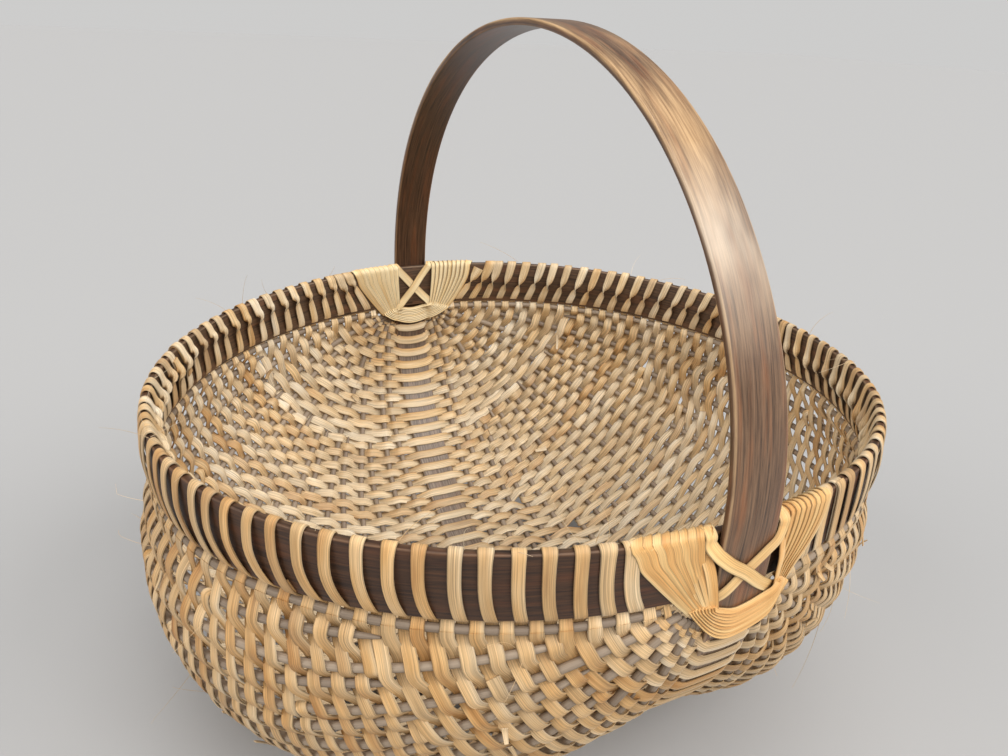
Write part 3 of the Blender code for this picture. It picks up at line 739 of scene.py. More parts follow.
def makeRibs():
    for side, label in ((-1, "left"), (1, "right")):
        for k in range(basket["ribsPerSide"]):
            if ribRows(k):
                first, last = ribSpan(k, side)
                parts = np.linspace(first - rng.uniform(0.0, 0.008), last + rng.uniform(0.0, 0.008), ribLook["steps"])
                shares = ribShare(k, parts, side)
                angles = angleAt(parts, shares)
                end, length = ribLook["sharp"], ribLook["sharpLength"]
            else:
                tuck = ribLook["shortTuck"] if k < 3 else ribLook["tuck"]
                parts = np.linspace(-tuck, 1 + tuck, ribLook["steps"])
                shares = ribShare(k, parts, side)
                angles = earAngle(parts, shares)
                end, length = ribLook["blunt"], ribLook["taper"]
            path = cheekPoint(angles, shares, side)
            normal = cheekNormal(angles, shares, side)
            run = np.concatenate(([0.0], np.cumsum(np.linalg.norm(np.diff(path, axis=0), axis=1))))
            waver = 0.0004 * np.sin(run * 34 + rng.uniform(0, 6)) + 0.0003 * np.sin(run * 71 + rng.uniform(0, 6))
            path = path + np.cross(unit(np.gradient(path, axis=0)), normal) * waver[:, None]
            toEnd = np.minimum(run, run[-1] - run)
            scale = end + (1 - end) * np.clip(toEnd / length, 0, 1) ** 0.7
            scale = scale * (1 + 0.04 * np.sin(run * 23 + rng.uniform(0, 6)))
            turn = np.linspace(0, 2 * math.pi, ribLook["sides"], endpoint=False)
            radius = basket["ribDiameter"] / 2
            profile = np.stack([np.cos(turn) * radius, np.sin(turn) * radius], axis=1)
            bundle = Bundle()
            bundle.sweep(path, np.cross(unit(np.gradient(path, axis=0)), normal), profile, scale=scale,
                         tone=rng.uniform(0.35, 0.7), seed=rng.uniform(0, 9))
            number = "%s%02d" % (label.capitalize(), k + 1)
            piece = bundle.make("rib" + number, ribWood)
            finishPiece(piece, "rib_wood", "rib_%s_%02d" % (label, k + 1))


makeRibs()
print("ribs done")


# Weaving

def smoothNoise(run, rngLocal, amplitude, waves=(9.0, 23.0, 47.0)):
    total = np.zeros_like(run)
    for i, w in enumerate(waves):
        total += np.sin(run * w * rngLocal.uniform(0.8, 1.2) + rngLocal.uniform(0, 6.3)) / (i + 1)
    return total * amplitude


def evenRun(points):
    return np.concatenate(([0.0], np.cumsum(np.linalg.norm(np.diff(points, axis=0), axis=1))))


# Stations of one row on one cheek between two ribs: share, part, offset from the ribs' surface. Over each
# rib the splint runs square to it, and it shifts sideways between them.
def cheekStations(row, side, state, firstRib, lastRib, pair=None, step=0.5):
    knots = []
    for k in range(firstRib, lastRib + 1):
        part = float(rowPart(row, ribShares[k], side, pair, step))
        if ribRows(k) and not ribRows(k)[0] <= row <= ribRows(k)[1]:
            continue
        share = float(ribShare(k, part, side))
        knots.append((share, float(rowPart(row, share, side, pair, step)), state * weave["over"]))
        state = -state
    shares, parts, offsets = [], [], []
    t = np.arange(weave["stepsPerRib"]) / weave["stepsPerRib"]
    for (s0, p0, o0), (s1, p1, o1) in zip(knots, knots[1:]):
        shares.append(s0 + (s1 - s0) * t)
        parts.append(p0 + (p1 - p0) * smoothStep(t))
        offsets.append(o0 + (o1 - o0) * (0.5 - 0.5 * np.cos(math.pi * t)))
    shares.append([knots[-1][0]])
    parts.append([knots[-1][1]])
    offsets.append([knots[-1][2]])
    return np.concatenate(shares), np.concatenate(parts), np.concatenate(offsets), state


def cheekLine(shares, parts, offsets, side):
    angles = earAngle(parts, shares)
    return cheekPoint(angles, shares, side), cheekNormal(angles, shares, side)


# Distance to the next row, square to the row's own run.
def rowGap(row, side, shares, parts):
    total = float(weave["rows"])
    here = cheekPoint(earAngle(parts, shares), shares, side)
    rowsHere = total + sum(2 * presence(other, shares) for other in shortRows[side])
    ahead = parts + np.where(parts < 0.5, 1, -1) / rowsHere
    there = cheekPoint(earAngle(ahead, shares), shares, side)
    travel = unit(np.gradient(here, axis=0))
    gap = there - here
    gap = gap - travel * np.sum(gap * travel, axis=1, keepdims=True)
    return np.linalg.norm(gap, axis=1)


spineLength = 0.634


# A whole row from the left rim to the right rim.
def rowLine(row, rngLocal):
    startState = 1 if row % 2 == 0 else -1
    pieces = []
    last = basket["ribsPerSide"] - 1
    for side in (-1, 1):
        shares, parts, offsets, state = cheekStations(row, side, startState, 0, last)
        points, normals = cheekLine(shares, parts, offsets, side)
        gap = rowGap(row, side, shares, parts)
        pieces.append([points, normals, offsets, gap])
    spinePart = np.array([float(rowPart(row, 1.0, -1))])
    half = basket["handleWidth"] / 2
    spineAngle = earAngle(spinePart, np.array([1.0]))
    edge = cheekPoint(spineAngle, np.array([1.0]), 1)[0]
    edgeNormal = cheekNormal(spineAngle, np.array([1.0]), 1)[0]
    spineNormal = unit(edgeNormal * (1, 0, 1))
    flat = np.linspace(-half * 0.8, half * 0.8, 7)
    # across the spine the splint sags away from the nearer ear, most of all close to the lashing
    inside = min(float(spinePart[0]), 1 - float(spinePart[0]))
    sag = (weave["sag"][0] + weave["sag"][1] * math.exp(-max(inside, 0) / weave["sag"][2])) / spineLength
    sagParts = spinePart + (sag if spinePart[0] < 0.5 else -sag) * (1 - (flat / 0.026) ** 2)
    spineLine = cheekPoint(earAngle(sagParts, np.ones(7)), np.ones(7), 1)
    spinePoints = np.stack([spineLine[:, 0], flat, spineLine[:, 2]], axis=1)
    spineOffset = state * weave["spineOver"]
    left, right = pieces
    joins = []
    for piece, sign in ((left, -1), (right, 1)):
        t = (np.arange(4) + 1)[:, None] / 5
        start, finish = piece[0][-1], spinePoints[0 if sign < 0 else -1]
        ease = 0.5 - 0.5 * np.cos(math.pi * t)
        joins.append([start + (finish - start) * t, unit(piece[1][-1] + (spineNormal - piece[1][-1]) * t),
                      (piece[2][-1] + (spineOffset - piece[2][-1]) * ease)[:, 0], np.full(4, piece[3][-1])])
    middle = [spinePoints, np.repeat(spineNormal[None], 7, axis=0), np.full(7, spineOffset), np.full(7, weave["spinePitch"])]
    backwards = [[a[::-1] for a in piece] for piece in (joins[1], right)]
    whole = [np.concatenate(parts) for parts in zip(left, joins[0], middle, *backwards)]
    return finishLine(whole, rngLocal)


def finishLine(whole, rngLocal):
    centre, normal, offsets, gap = whole
    run = evenRun(centre)
    across = np.cross(unit(np.gradient(centre, axis=0)), normal)
    taper = np.clip(np.minimum(run, run[-1] - run) / 0.03, 0, 1)
    shift = smoothNoise(run, rngLocal, 0.00035) * taper
    line = centre + normal * offsets[:, None] + across * shift[:, None]
    width = np.minimum(weave["widest"], 1.17 * gap) / splint["width"] * (1 + smoothNoise(run, rngLocal, 0.02))
    return line, across, width


def rimFrame(part, side):
    angle = angleAt(part, np.zeros_like(part))
    point = cheekPoint(angle, np.zeros_like(part), side)
    ahead = cheekPoint(angle + 0.003, np.zeros_like(part), side) - cheekPoint(angle - 0.003, np.zeros_like(part), side)
    out = unit(np.stack([ahead[:, 1], -ahead[:, 0], np.zeros(len(part))], axis=1)) * side
    level = rimTop + rimLevel(point[:, 1])
    return point, out, level


rimLength = evenRun(rimFrame(np.linspace(0, 1, 200), 1)[0])[-1]


def catmull(x, knots, values):
    slopes = np.gradient(values, knots)
    i = np.clip(np.searchsorted(knots, x, side="right") - 1, 0, len(knots) - 2)
    width = knots[i + 1] - knots[i]
    t = (x - knots[i]) / width
    return ((2 * t ** 3 - 3 * t ** 2 + 1) * values[i] + (t ** 3 - 2 * t ** 2 + t) * slopes[i] * width
            + (-2 * t ** 3 + 3 * t ** 2) * values[i + 1] + (t ** 3 - t ** 2) * slopes[i + 1] * width)


# How far a turn's top leans away from the nearest ear: much beside the lashing, none a little further on,
# and more again towards the middle of the rim.
def turnLean(part):
    near = min(part, 1 - part)
    if part < 0.5:
        lean = 0.0070 * math.exp(-near / 0.018) + 0.0075 * float(smoothStep((near - 0.08) / 0.28))
    else:
        lean = 0.0085
    lean = lean * float(smoothStep((0.5 - near) / 0.04))
    return lean


# A turn over the rim. It goes up the outer face from behind the first rib, over the top and down the
# inner face with half a twist, to the outside of the first rib. partA is its outer foot, partB its inner one.
def rimTurn(partA, partB, side, rngLocal):
    middle = (partA + partB) / 2
    near = min(middle, 1 - middle)
    jitter = rngLocal.uniform(-0.0014, 0.0014)
    if middle < 0.5:
        topPart = middle + (turnLean(middle) + jitter) / rimLength
    else:
        fade = float(smoothStep((middle - 0.5) / 0.04))
        topPart = middle + ((partB - middle) * rimLength * fade - turnLean(middle) * (1.45 if side > 0 else 1.0) + jitter) / rimLength
    # the tops beside the lashings close up so that none runs under a fan
    inside = abs(rimFrame(np.array([topPart]), side)[0][0][1])
    low, first, free = weave["crowded"]
    if middle > 0.5 and inside < free:
        moved = first + (free - first) * (inside - low) / (free - low) - inside
        topPart += math.copysign(moved, 0.5 - middle) / rimLength
    o = weave["rimOut"]
    b = weave["bulge"] * rngLocal.uniform(0.5, 1.2) * float(smoothStep(near / 0.15))
    h = basket["rimHeight"]
    lift = float(farLift(math.pi * middle))
    foot = earLevel + 0.0008 - lift
    gap = 0.0022 - lift / 2
    # the twist sits a third of the way down on the left, and half-way on the right
    knot = rngLocal.uniform(0.27, 0.37) if side < 0 else rngLocal.uniform(0.44, 0.56)
    outerWidth = 1.02 + 0.34 * math.exp(-near / 0.05) + rngLocal.uniform(-0.05, 0.05)
    topWidth = outerWidth * (rngLocal.uniform(1.10, 1.30) if near < 0.27 else rngLocal.uniform(1.0, 1.12))
    # at the left cheek's widest the turns lie close together
    crowd = float(smoothStep((near - 0.28) / 0.10)) if side < 0 else 0.0
    topWidth += 0.30 * crowd
    leaf = 1.14 + 0.50 * crowd
    keys = [
        (partA, -weave["over"], -foot, 0.0, outerWidth),
        (partA, -0.0023, -foot + 0.0021, 0.0, outerWidth),
        (partA, -0.0010, -h - gap, 0.0, outerWidth),
        (partA + (topPart - partA) * 0.18, o - 0.0004, -h + 0.0012, 0.0, outerWidth),
        (partA + (topPart - partA) * 0.62, o + b * 0.6, -h * 0.76, 0.0, outerWidth),
        (partA + (topPart - partA) * 0.92, o + b, -h * 0.48, 0.0, outerWidth),
        (topPart, o + b * 0.6, -h * 0.17, 0.0, outerWidth),
        (topPart, o - 0.0001, -0.0010, 0.0, (outerWidth + topWidth) / 2),
        (topPart, 0.0012, 0.0012, 0.0, topWidth),
        (topPart, -0.0012, 0.0012, 0.0, topWidth),
        (topPart + (partB - topPart) * 0.06, -o - 0.0001, -0.0016, 0.0, topWidth),
        (topPart + (partB - topPart) * knot * 0.55, -o - b * 0.8 - 0.0004, -h * knot * 0.62, 0.06, topWidth * 0.97),
        (topPart + (partB - topPart) * knot, -o - b - 0.0012, -h * knot, 0.50, 0.86),
        (topPart + (partB - topPart) * (knot + 0.14), -o - b * 0.8 - 0.0006, -h * (knot + 0.13), 0.93, leaf - 0.12),
        (topPart + (partB - topPart) * 0.90, -o - b * 0.3, -h * 0.86, 1.0, leaf),
        (partB, 0.0002, -h - gap, 1.0, 1.12),
        (partB, 0.0023, -foot + 0.0021, 1.0, 1.12),
        (partB, weave["over"], -foot, 1.0, 1.12),
    ]
    keys = np.array(keys)
    t = np.arange(len(keys), dtype=float)
    fine = np.linspace(0, len(keys) - 1, 3 * (len(keys) - 1) + 1)
    values = np.stack([catmull(fine, t, keys[:, i]) for i in range(5)], axis=1)
    point, out, level = rimFrame(np.clip(values[:, 0], 0, 1), side)
    line = np.stack([point[:, 0], point[:, 1], level], axis=1) + out * values[:, 1:2]
    line[:, 2] += values[:, 2]
    tangent = np.cross(np.array([0, 0, 1.0]), out)
    travel = unit(np.gradient(line, axis=0))
    across = unit(tangent - travel * np.sum(tangent * travel, axis=1, keepdims=True))
    up = np.cross(across, travel)
    theta = values[:, 3:4] * math.pi * (1 if side > 0 else -1)
    across = across * np.cos(theta) + up * np.sin(theta)
    return line, across, values[:, 4]


# A short row and its fellow, one closed turn: out along one, round a rib, back along the other.
def shortPair(pair, side, rngLocal):
    after, firstRib, lastRib = pair
    rowState = (1 if after % 2 == 0 else -1) * (1 if firstRib % 2 == 0 else -1)
    halves = []
    for step, state in ((0.5, -rowState), (1.5, rowState)):
        shares, parts, offsets, end = cheekStations(after, side, state, firstRib, lastRib, pair, step)
        points, normals = cheekLine(shares, parts, offsets, side)
        halves.append((points, normals, offsets, rowGap(after, side, shares, parts)))
    (outPoints, outNormals, outOffsets, outGap), (backPoints, backNormals, backOffsets, backGap) = halves
    turns = []
    for end in (-1, 0):
        a = outPoints[end] + outNormals[end] * outOffsets[end]
        b = backPoints[end] + backNormals[end] * backOffsets[end]
        rib = (outPoints[end] + backPoints[end]) / 2
        beyond = unit(outPoints[end] - outPoints[end - 4 if end == -1 else 4])
        angle = np.linspace(0, math.pi, 9)[1:-1, None]
        turns.append((a + b) / 2 + (a - b) / 2 * np.cos(angle) + beyond * weave["over"] * np.sin(angle))
    outward = outPoints + outNormals * outOffsets[:, None]
    inward = backPoints + backNormals * backOffsets[:, None]
    line = np.concatenate((outward, turns[0], inward[::-1], turns[1][::-1]))
    lateral = unit(np.cross(unit(np.gradient(outPoints, axis=0)), outNormals))
    lateralBack = unit(np.cross(unit(np.gradient(backPoints, axis=0)), backNormals))
    across = np.concatenate((lateral, np.repeat(lateral[-1:], 7, axis=0), lateralBack[::-1],
                             np.repeat(lateral[:1], 7, axis=0)))
    gap = np.concatenate((outGap, np.full(7, outGap[-1]), backGap[::-1], np.full(7, outGap[0])))
    width = np.minimum(weave["widest"], gap) / splint["width"]
    lift = unit(np.concatenate((outNormals, np.repeat(outNormals[-1:], 7, axis=0), backNormals[::-1],
                                np.repeat(outNormals[:1], 7, axis=0))))
    # the loop starts in the middle of a float and overlaps its own start
    start = weave["stepsPerRib"] * 2 + 3
    order = np.concatenate((np.arange(start, len(line)), np.arange(0, start + weave["stepsPerRib"] * 2)))
    over = np.zeros(len(order))
    over[:weave["stepsPerRib"] * 2 - 2] = 0.0006
    over[-weave["stepsPerRib"] * 2 + 2:] = -0.0006
    return line[order] + lift[order] * over[:, None], across[order], width[order]


def weaveAll():
    rngLocal = random.Random(31)
    chain = []
    rimParts = [float(rowPart(row, 0.0, 1)) for row in range(weave["rows"])]
    for row in range(weave["rows"]):
        line, across, width = rowLine(row, rngLocal)
        # even rows run from the left rim to the right, odd rows back
        if row % 2 == 1:
            line, across, width = line[::-1], across[::-1], width[::-1]
        chain.append((line, across, width))
        if row < weave["rows"] - 1:
            if row % 2 == 0:
                turn = [a[::-1] for a in rimTurn(rimParts[row + 1], rimParts[row], 1, rngLocal)]
            else:
                turn = rimTurn(rimParts[row], rimParts[row + 1], -1, rngLocal)
            chain.append([a[1:-1] for a in turn])
    # both free ends are tucked inside the rim, beside the lashing
    inner = 3 * 10
    chain.insert(0, [a[inner:-1] for a in rimTurn(rimParts[0] - 0.004, rimParts[0], -1, rngLocal)])
    chain.append([a[:inner:-1][1:] for a in rimTurn(rimParts[-1] + 0.004, rimParts[-1], 1, rngLocal)])
    for i in range(1, len(chain)):
        if np.dot(chain[i - 1][1][-1], chain[i][1][0]) < 0:
            chain[i] = (chain[i][0], -chain[i][1], chain[i][2])
    line = np.concatenate([c[0] for c in chain])
    across = np.concatenate([c[1] for c in chain])
    width = np.concatenate([c[2] for c in chain])
    width = np.convolve(np.pad(width, 3, mode="edge"), np.ones(7) / 7, mode="valid")
    run = evenRun(line)
    print("weavers in all", round(run[-1], 1), "m,", len(line), "stations")
    strands = []
    start = 0.0
    while start < run[-1] - 0.4:
        end = start + weave["strandLength"] * rngLocal.uniform(0.8, 1.2)
        if run[-1] - end < 0.5:
            end = run[-1]
        strands.append((start, end))
        start = end
    bundles = [Bundle() for i in range(6)]
    names = ("weaversFrontEnd", "weaversFront", "weaversFrontMiddle", "weaversBackMiddle", "weaversBack", "weaversBackEnd")
    travel = unit(np.gradient(line, axis=0))
    up = np.cross(unit(across - travel * np.sum(across * travel, axis=1, keepdims=True)), travel)
    for k, (start, end) in enumerate(strands):
        low = np.searchsorted(run, start)
        high = np.searchsorted(run, min(end + weave["overlap"], run[-1])) + 1
        piece = slice(low, high)
        here = run[piece]
        shift = np.zeros(len(here))
        if k > 0:
            shift += 0.0006 * np.clip((start + weave["overlap"] + 0.01 - here) / 0.01, 0, 1)
        if end < run[-1]:
            shift -= 0.0006 * np.clip((here - end + 0.01) / 0.01, 0, 1)
        path = line[piece] + up[piece] * shift[:, None]
        tone = rngLocal.gauss(0.55, 0.15) + 0.05 * np.sin(here * 5 + k)
        group = min(int(6 * k / len(strands)), 5)
        bundles[group].sweep(path, across[piece], splintProfile(), scale=np.stack([width[piece], np.ones(len(here))], axis=1),
                             tone=np.clip(tone, 0.02, 0.98), seed=rngLocal.uniform(0, 40))
    # rows by the ears that don't reach the rim: their ends are tucked under the lashing
    for i in range(1, weave["earRows"] + 1):
        for row, group in ((-i, 0), (weave["rows"] - 1 + i, 5)):
            line, across, width = rowLine(row, rngLocal)
            state = 1 if row % 2 == 0 else -1
            heading = math.copysign(1.0, line[0][0])
            steps = [np.array((-heading * state * 0.0029, 0, 0.0050)), np.array((-heading * state * 0.0040, 0, 0.0085))]
            line = np.concatenate(([line[0] + steps[1], line[0] + steps[0]], line, [line[-1] + steps[0], line[-1] + steps[1]]))
            across = np.concatenate((across[:1], across[:1], across, across[-1:], across[-1:]))
            width = np.concatenate((width[:1], width[:1], width, width[-1:], width[-1:]))
            bundles[group].sweep(line, across, splintProfile(), scale=np.stack([width * 0.9, np.ones(len(line))], axis=1),
                                 tone=float(np.clip(rngLocal.gauss(0.55, 0.11), 0.02, 0.98)), seed=rngLocal.uniform(0, 40))
    for side in (-1, 1):
        for pair in shortRows[side]:
            line, across, width = shortPair(pair, side, rngLocal)
            group = min(int(6 * pair[0] / weave["rows"]), 5)
            bundles[group].sweep(line, across, splintProfile(), scale=np.stack([width, np.ones(len(line))], axis=1),
                                 tone=float(np.clip(rngLocal.gauss(0.55, 0.11), 0.02, 0.98)), seed=rngLocal.uniform(0, 40))
    for bundle, name in zip(bundles, names):
        piece = bundle.make(name, splintGold)
        finishPiece(piece, "weaver_splint", "weave_left", "weave_right")
        print(name, len(piece.data.polygons), "faces")


weaveAll()
print("weaving done")


# Ear lashings

# Millimetres, across from the handle's middle line and down from the rim's top. Each fan is given by where its
# first strand and its last cross the rim's top and meet the strands below: left hand of the basket, then right.
lashing = {
    "strands": 9, "fanStations": 64, "bowStations": 40, "tuck": 0.8, "pressed": 0.45, "bowPower": 1.8, "bowWidth": 0.50,
    "lift": 0.0006, "handleEdge": (15.0, 21.0), "bridged": 6.0, "frontFlare": 0.0060, "hook": (0.6, 1.3),
    "frontOuter": {-1: {"top": (22.7, 59.1), "corner": (15.6, 25.6), "depth": (40.0, 43.5), "bend": 1.10},
                   1: {"top": (22.6, 55.0), "corner": (18.5, 29.0), "depth": (37.5, 43.0), "bend": 1.7},
                   "u": (46.5, 63.5)},
    "frontInner": {-1: {"top": (19.0, 55.0), "corner": (17.0, 31.0), "depth": (37.0, 42.0), "bend": 1.2},
                   1: {"top": (19.0, 55.0), "corner": (17.0, 31.0), "depth": (37.0, 42.0), "bend": 1.2},
                   "u": (42.5, 55.5)},
    "backOuter": {-1: {"top": (20.0, 58.0), "corner": (17.0, 31.0), "depth": (39.0, 43.5), "bend": 1.2},
                  1: {"top": (20.0, 58.0), "corner": (17.0, 31.0), "depth": (39.0, 43.5), "bend": 1.4},
                  "u": (46.5, 63.0)},
    "backInner": {-1: {"top": (18.0, 55.0), "corner": (15.6, 28.5), "depth": (38.5, 43.0), "bend": 1.15},
                  1: {"top": (21.0, 54.0), "corner": (18.4, 34.0), "depth": (37.0, 42.0), "bend": 1.5},
                  "u": (42.5, 55.5)},
}


def between(pair, t):
    return pair[0] + (pair[1] - pair[0]) * t


def rimFace(y, inset):
    share = np.minimum(np.abs(y) / (basket["rimHalfWidth"] - inset), 1) ** basket["rimRoundness"]
    return (basket["rimHalfLength"] - inset) * (1 - share) ** (1 / basket["rimRoundness"])


def spineFace(z, inset):
    reach = basket["spineDepth"] + basket["handleThickness"] - earLevel - inset
    share = np.minimum(np.maximum(-z - earLevel, 0) / reach, 1) ** basket["spineRoundness"]
    return (handleInside + basket["handleThickness"] - inset) * (1 - share) ** (1 / basket["spineRoundness"])


# Distance from the middle of the face that a lashing rests on, outside or inside.
def restingFace(y, z, outside):
    low, high = (v / 1000 for v in lashing["handleEdge"])
    # lower down the strands bridge the corner between handle and rim
    if outside:
        high = high + lashing["bridged"] / 1000 * smoothStep((-z - 0.0110) / 0.0120)
    onHandle = 1 - smoothStep((np.abs(y) - low) / (high - low))
    below = smoothStep((-z - 0.0360) / 0.0060)
    if outside:
        rim = rimFace(y, 0.0) * (1 - below) + (rimFace(y, 0.0) + 0.0012) * below
        return rim + (np.maximum(spineFace(z, 0.0), rim) - rim) * onHandle
    rim = rimFace(y, basket["rimThickness"])
    spine = spineFace(z, basket["handleThickness"])
    return rim + (np.minimum(spine, rim + 0.0036) - rim) * onHandle * below


def flareOf(line, end):
    if end > 0:
        line[:, 1] += lashing["frontFlare"] * smoothStep(line[:, 1] / 0.016)
    line[:, 2] += rimTop
    return line


# How far apart neighbouring strands lie, in millimetres, between the rim's top and the corner.
def fanSpacing(look, t, depth):
    steps = lashing["strands"] - 1
    topStep = (look["top"][1] - look["top"][0]) / steps
    cornerStep = (look["corner"][1] - look["corner"][0]) / steps
    depthStep = (look["depth"][1] - look["depth"][0]) / steps
    slope = (between(look["top"], t) - between(look["corner"], t)) / between(look["depth"], t) * look["bend"]
    endStep = (cornerStep + slope * depthStep) / math.hypot(1, slope)
    return topStep + (endStep - topStep) * depth ** look["bend"]


# Neighbours overlap like shingles: the closer they lie, the more they tip.
def shingle(bundle, line, outward, inwards, spacing, width, thin, lift, tone, seed):
    travel = unit(np.gradient(line, axis=0))
    across = np.cross(travel, outward)
    across = unit(across * np.where(np.sum(across * inwards, axis=1, keepdims=True) < 0, -1, 1))
    outward = unit(outward - travel * np.sum(outward * travel, axis=1, keepdims=True))
    tilt = np.arcsin(np.clip(1.10 * thin / spacing, 0, 0.7))[:, None]
    tilted = across * np.cos(tilt) + outward * np.sin(tilt)
    raised = lift + splint["width"] / 2 * width * np.sin(tilt[:, 0])
    bundle.sweep(line + outward * raised[:, None], tilted, splintProfile(),
                 scale=np.stack([width, thin], axis=1), tone=tone, seed=seed)


# One strand of a fan, from its outer corner up over the rim's top and down to its inner corner.
def fanStrand(bundle, end, label, hand, t, tone, seed):
    keys = []
    for face in ("Outer", "Inner"):
        look = lashing[label + face][hand]
        outside = face == "Outer"
        top = between(look["top"], t)
        corner = between(look["corner"], t)
        depth = between(look["depth"], t) + lashing["tuck"]
        points = []
        for part in (1.0, 0.8, 0.6, 0.4, 0.22, 0.09):
            y = (top + (corner - top) * part ** look["bend"]) / 1000
            z = -(3.6 + (depth - 3.6) * part) / 1000 if part > 0.1 else -0.0036
            points.append((restingFace(y, z, outside), y, z + rimLevel(y), 1.0 if outside else -1.0))
        y = top / 1000
        points.append((rimFace(y, 0.0003 if outside else basket["rimThickness"] - 0.0003), y, rimLevel(y) - 0.0004,
                       0.8 if outside else -0.8))
        keys.append(points)
    middle = [(rimFace(keys[0][-1][1], basket["rimThickness"] / 2), (keys[0][-1][1] + keys[1][-1][1]) / 2,
               rimLevel(keys[0][-1][1]) + 0.0007, 0.0)]
    keys = np.array(keys[0] + middle + keys[1][::-1])
    knots = evenRun(keys[:, :3])
    steps = np.linspace(0, knots[-1], lashing["fanStations"])
    values = np.stack([catmull(steps, knots, keys[:, c]) for c in range(4)], axis=1)
    facing = np.clip(values[:, 3:4], -1, 1)
    outward = unit(np.concatenate((end * facing, np.zeros_like(facing), np.sqrt(1 - facing ** 2) + 1e-6), axis=1))
    line = flareOf(values[:, :3] * (end, hand, 1), end)
    inwards = np.zeros_like(line)
    inwards[:, 1] = -hand
    depth = np.clip((rimTop - line[:, 2]) * 1000 / 42, 0, 1)
    spacing = np.where(facing[:, 0] > 0, fanSpacing(lashing[label + "Outer"][hand], t, depth),
                       fanSpacing(lashing[label + "Inner"][hand], t, depth))
    # pressed thin where they crowd together
    thin = 1 - lashing["pressed"] * depth ** 2
    shingle(bundle, line, outward, inwards, spacing, 1.04 - 0.30 * depth ** 2, thin, lashing["lift"], tone, seed)


# The same strand where it crosses the hoop below the rim. At each corner it hooks up over the fan's end.
def lashBow(bundle, end, label, face, i, tone, seed):
    look = lashing[label + face]
    outside = face == "Outer"
    t = i / (lashing["strands"] - 1)
    low = between(look["u"], t)
    part = np.linspace(-1.0, 1.0, lashing["bowStations"])
    corners = {hand: between(look[hand]["corner"], t) for hand in (-1, 1)}
    depths = {hand: between(look[hand]["depth"], t) for hand in (-1, 1)}
    corner = np.where(part < 0, corners[-1], corners[1])
    depth = np.where(part < 0, depths[-1], depths[1])
    y = corner * part / 1000
    z = -(depth + (low - depth) * (1 - np.abs(part) ** lashing["bowPower"])) / 1000
    hooks = {}
    for hand in (-1, 1):
        top = between(look[hand]["top"], t)
        slope = (top - corners[hand]) / depths[hand] * look[hand]["bend"]
        hooks[hand] = [((corners[hand] + slope * s) * hand / 1000, -(depths[hand] - s) / 1000) for s in lashing["hook"]]
    y = np.concatenate(([p[0] for p in hooks[-1][::-1]], y, [p[0] for p in hooks[1]]))
    z = np.concatenate(([p[1] for p in hooks[-1][::-1]], z, [p[1] for p in hooks[1]]))
    part = np.concatenate(([-1.2, -1.1], part, [1.1, 1.2]))
    x = np.array([restingFace(a, b, outside) for a, b in zip(y, z)])
    line = flareOf(np.stack([x * end, y, z + rimLevel(y)], axis=1), end)
    outward = np.zeros_like(line)
    outward[:, 0] = end if outside else -end
    downwards = np.zeros_like(line)
    downwards[:, 2] = -1.0
    downwards[:, 1] = np.clip((np.abs(part) - 0.8) / 0.3, 0, 1) * np.sign(part)
    pitch = (look["u"][1] - look["u"][0]) / (lashing["strands"] - 1)
    rise = lashing["lift"] + 0.0012 * smoothStep((np.abs(part) - 0.55) / 0.4)
    width = lashing["bowWidth"] * (1 - 0.25 * np.clip((np.abs(part) - 1.0) / 0.2, 0, 1))
    even = np.ones(len(line))
    shingle(bundle, line, outward, downwards, even * pitch, width, even, rise, tone, seed)


def makeLashings():
    rngLocal = random.Random(5)
    # the far ear was lashed with paler splint, and its tone is raised further as painted light, since its inner face
    # gets less light than the near ear's outer face
    for end, label, shade in ((1, "front", 0.58), (-1, "back", 0.95)):
        bundle = Bundle()
        for i in range(lashing["strands"]):
            tone = float(np.clip(rngLocal.gauss(shade, 0.09), 0.1, 0.98))
            for hand in (-1, 1):
                fanStrand(bundle, end, label, hand, i / (lashing["strands"] - 1), tone, rngLocal.uniform(0, 40))
            for face in ("Outer", "Inner"):
                lashBow(bundle, end, label, face, i, tone, rngLocal.uniform(0, 40))
        piece = bundle.make("earLashing" + label.capitalize(), lashingGold)
        finishPiece(piece, "lashing_splint", "ear_lashing_" + label)


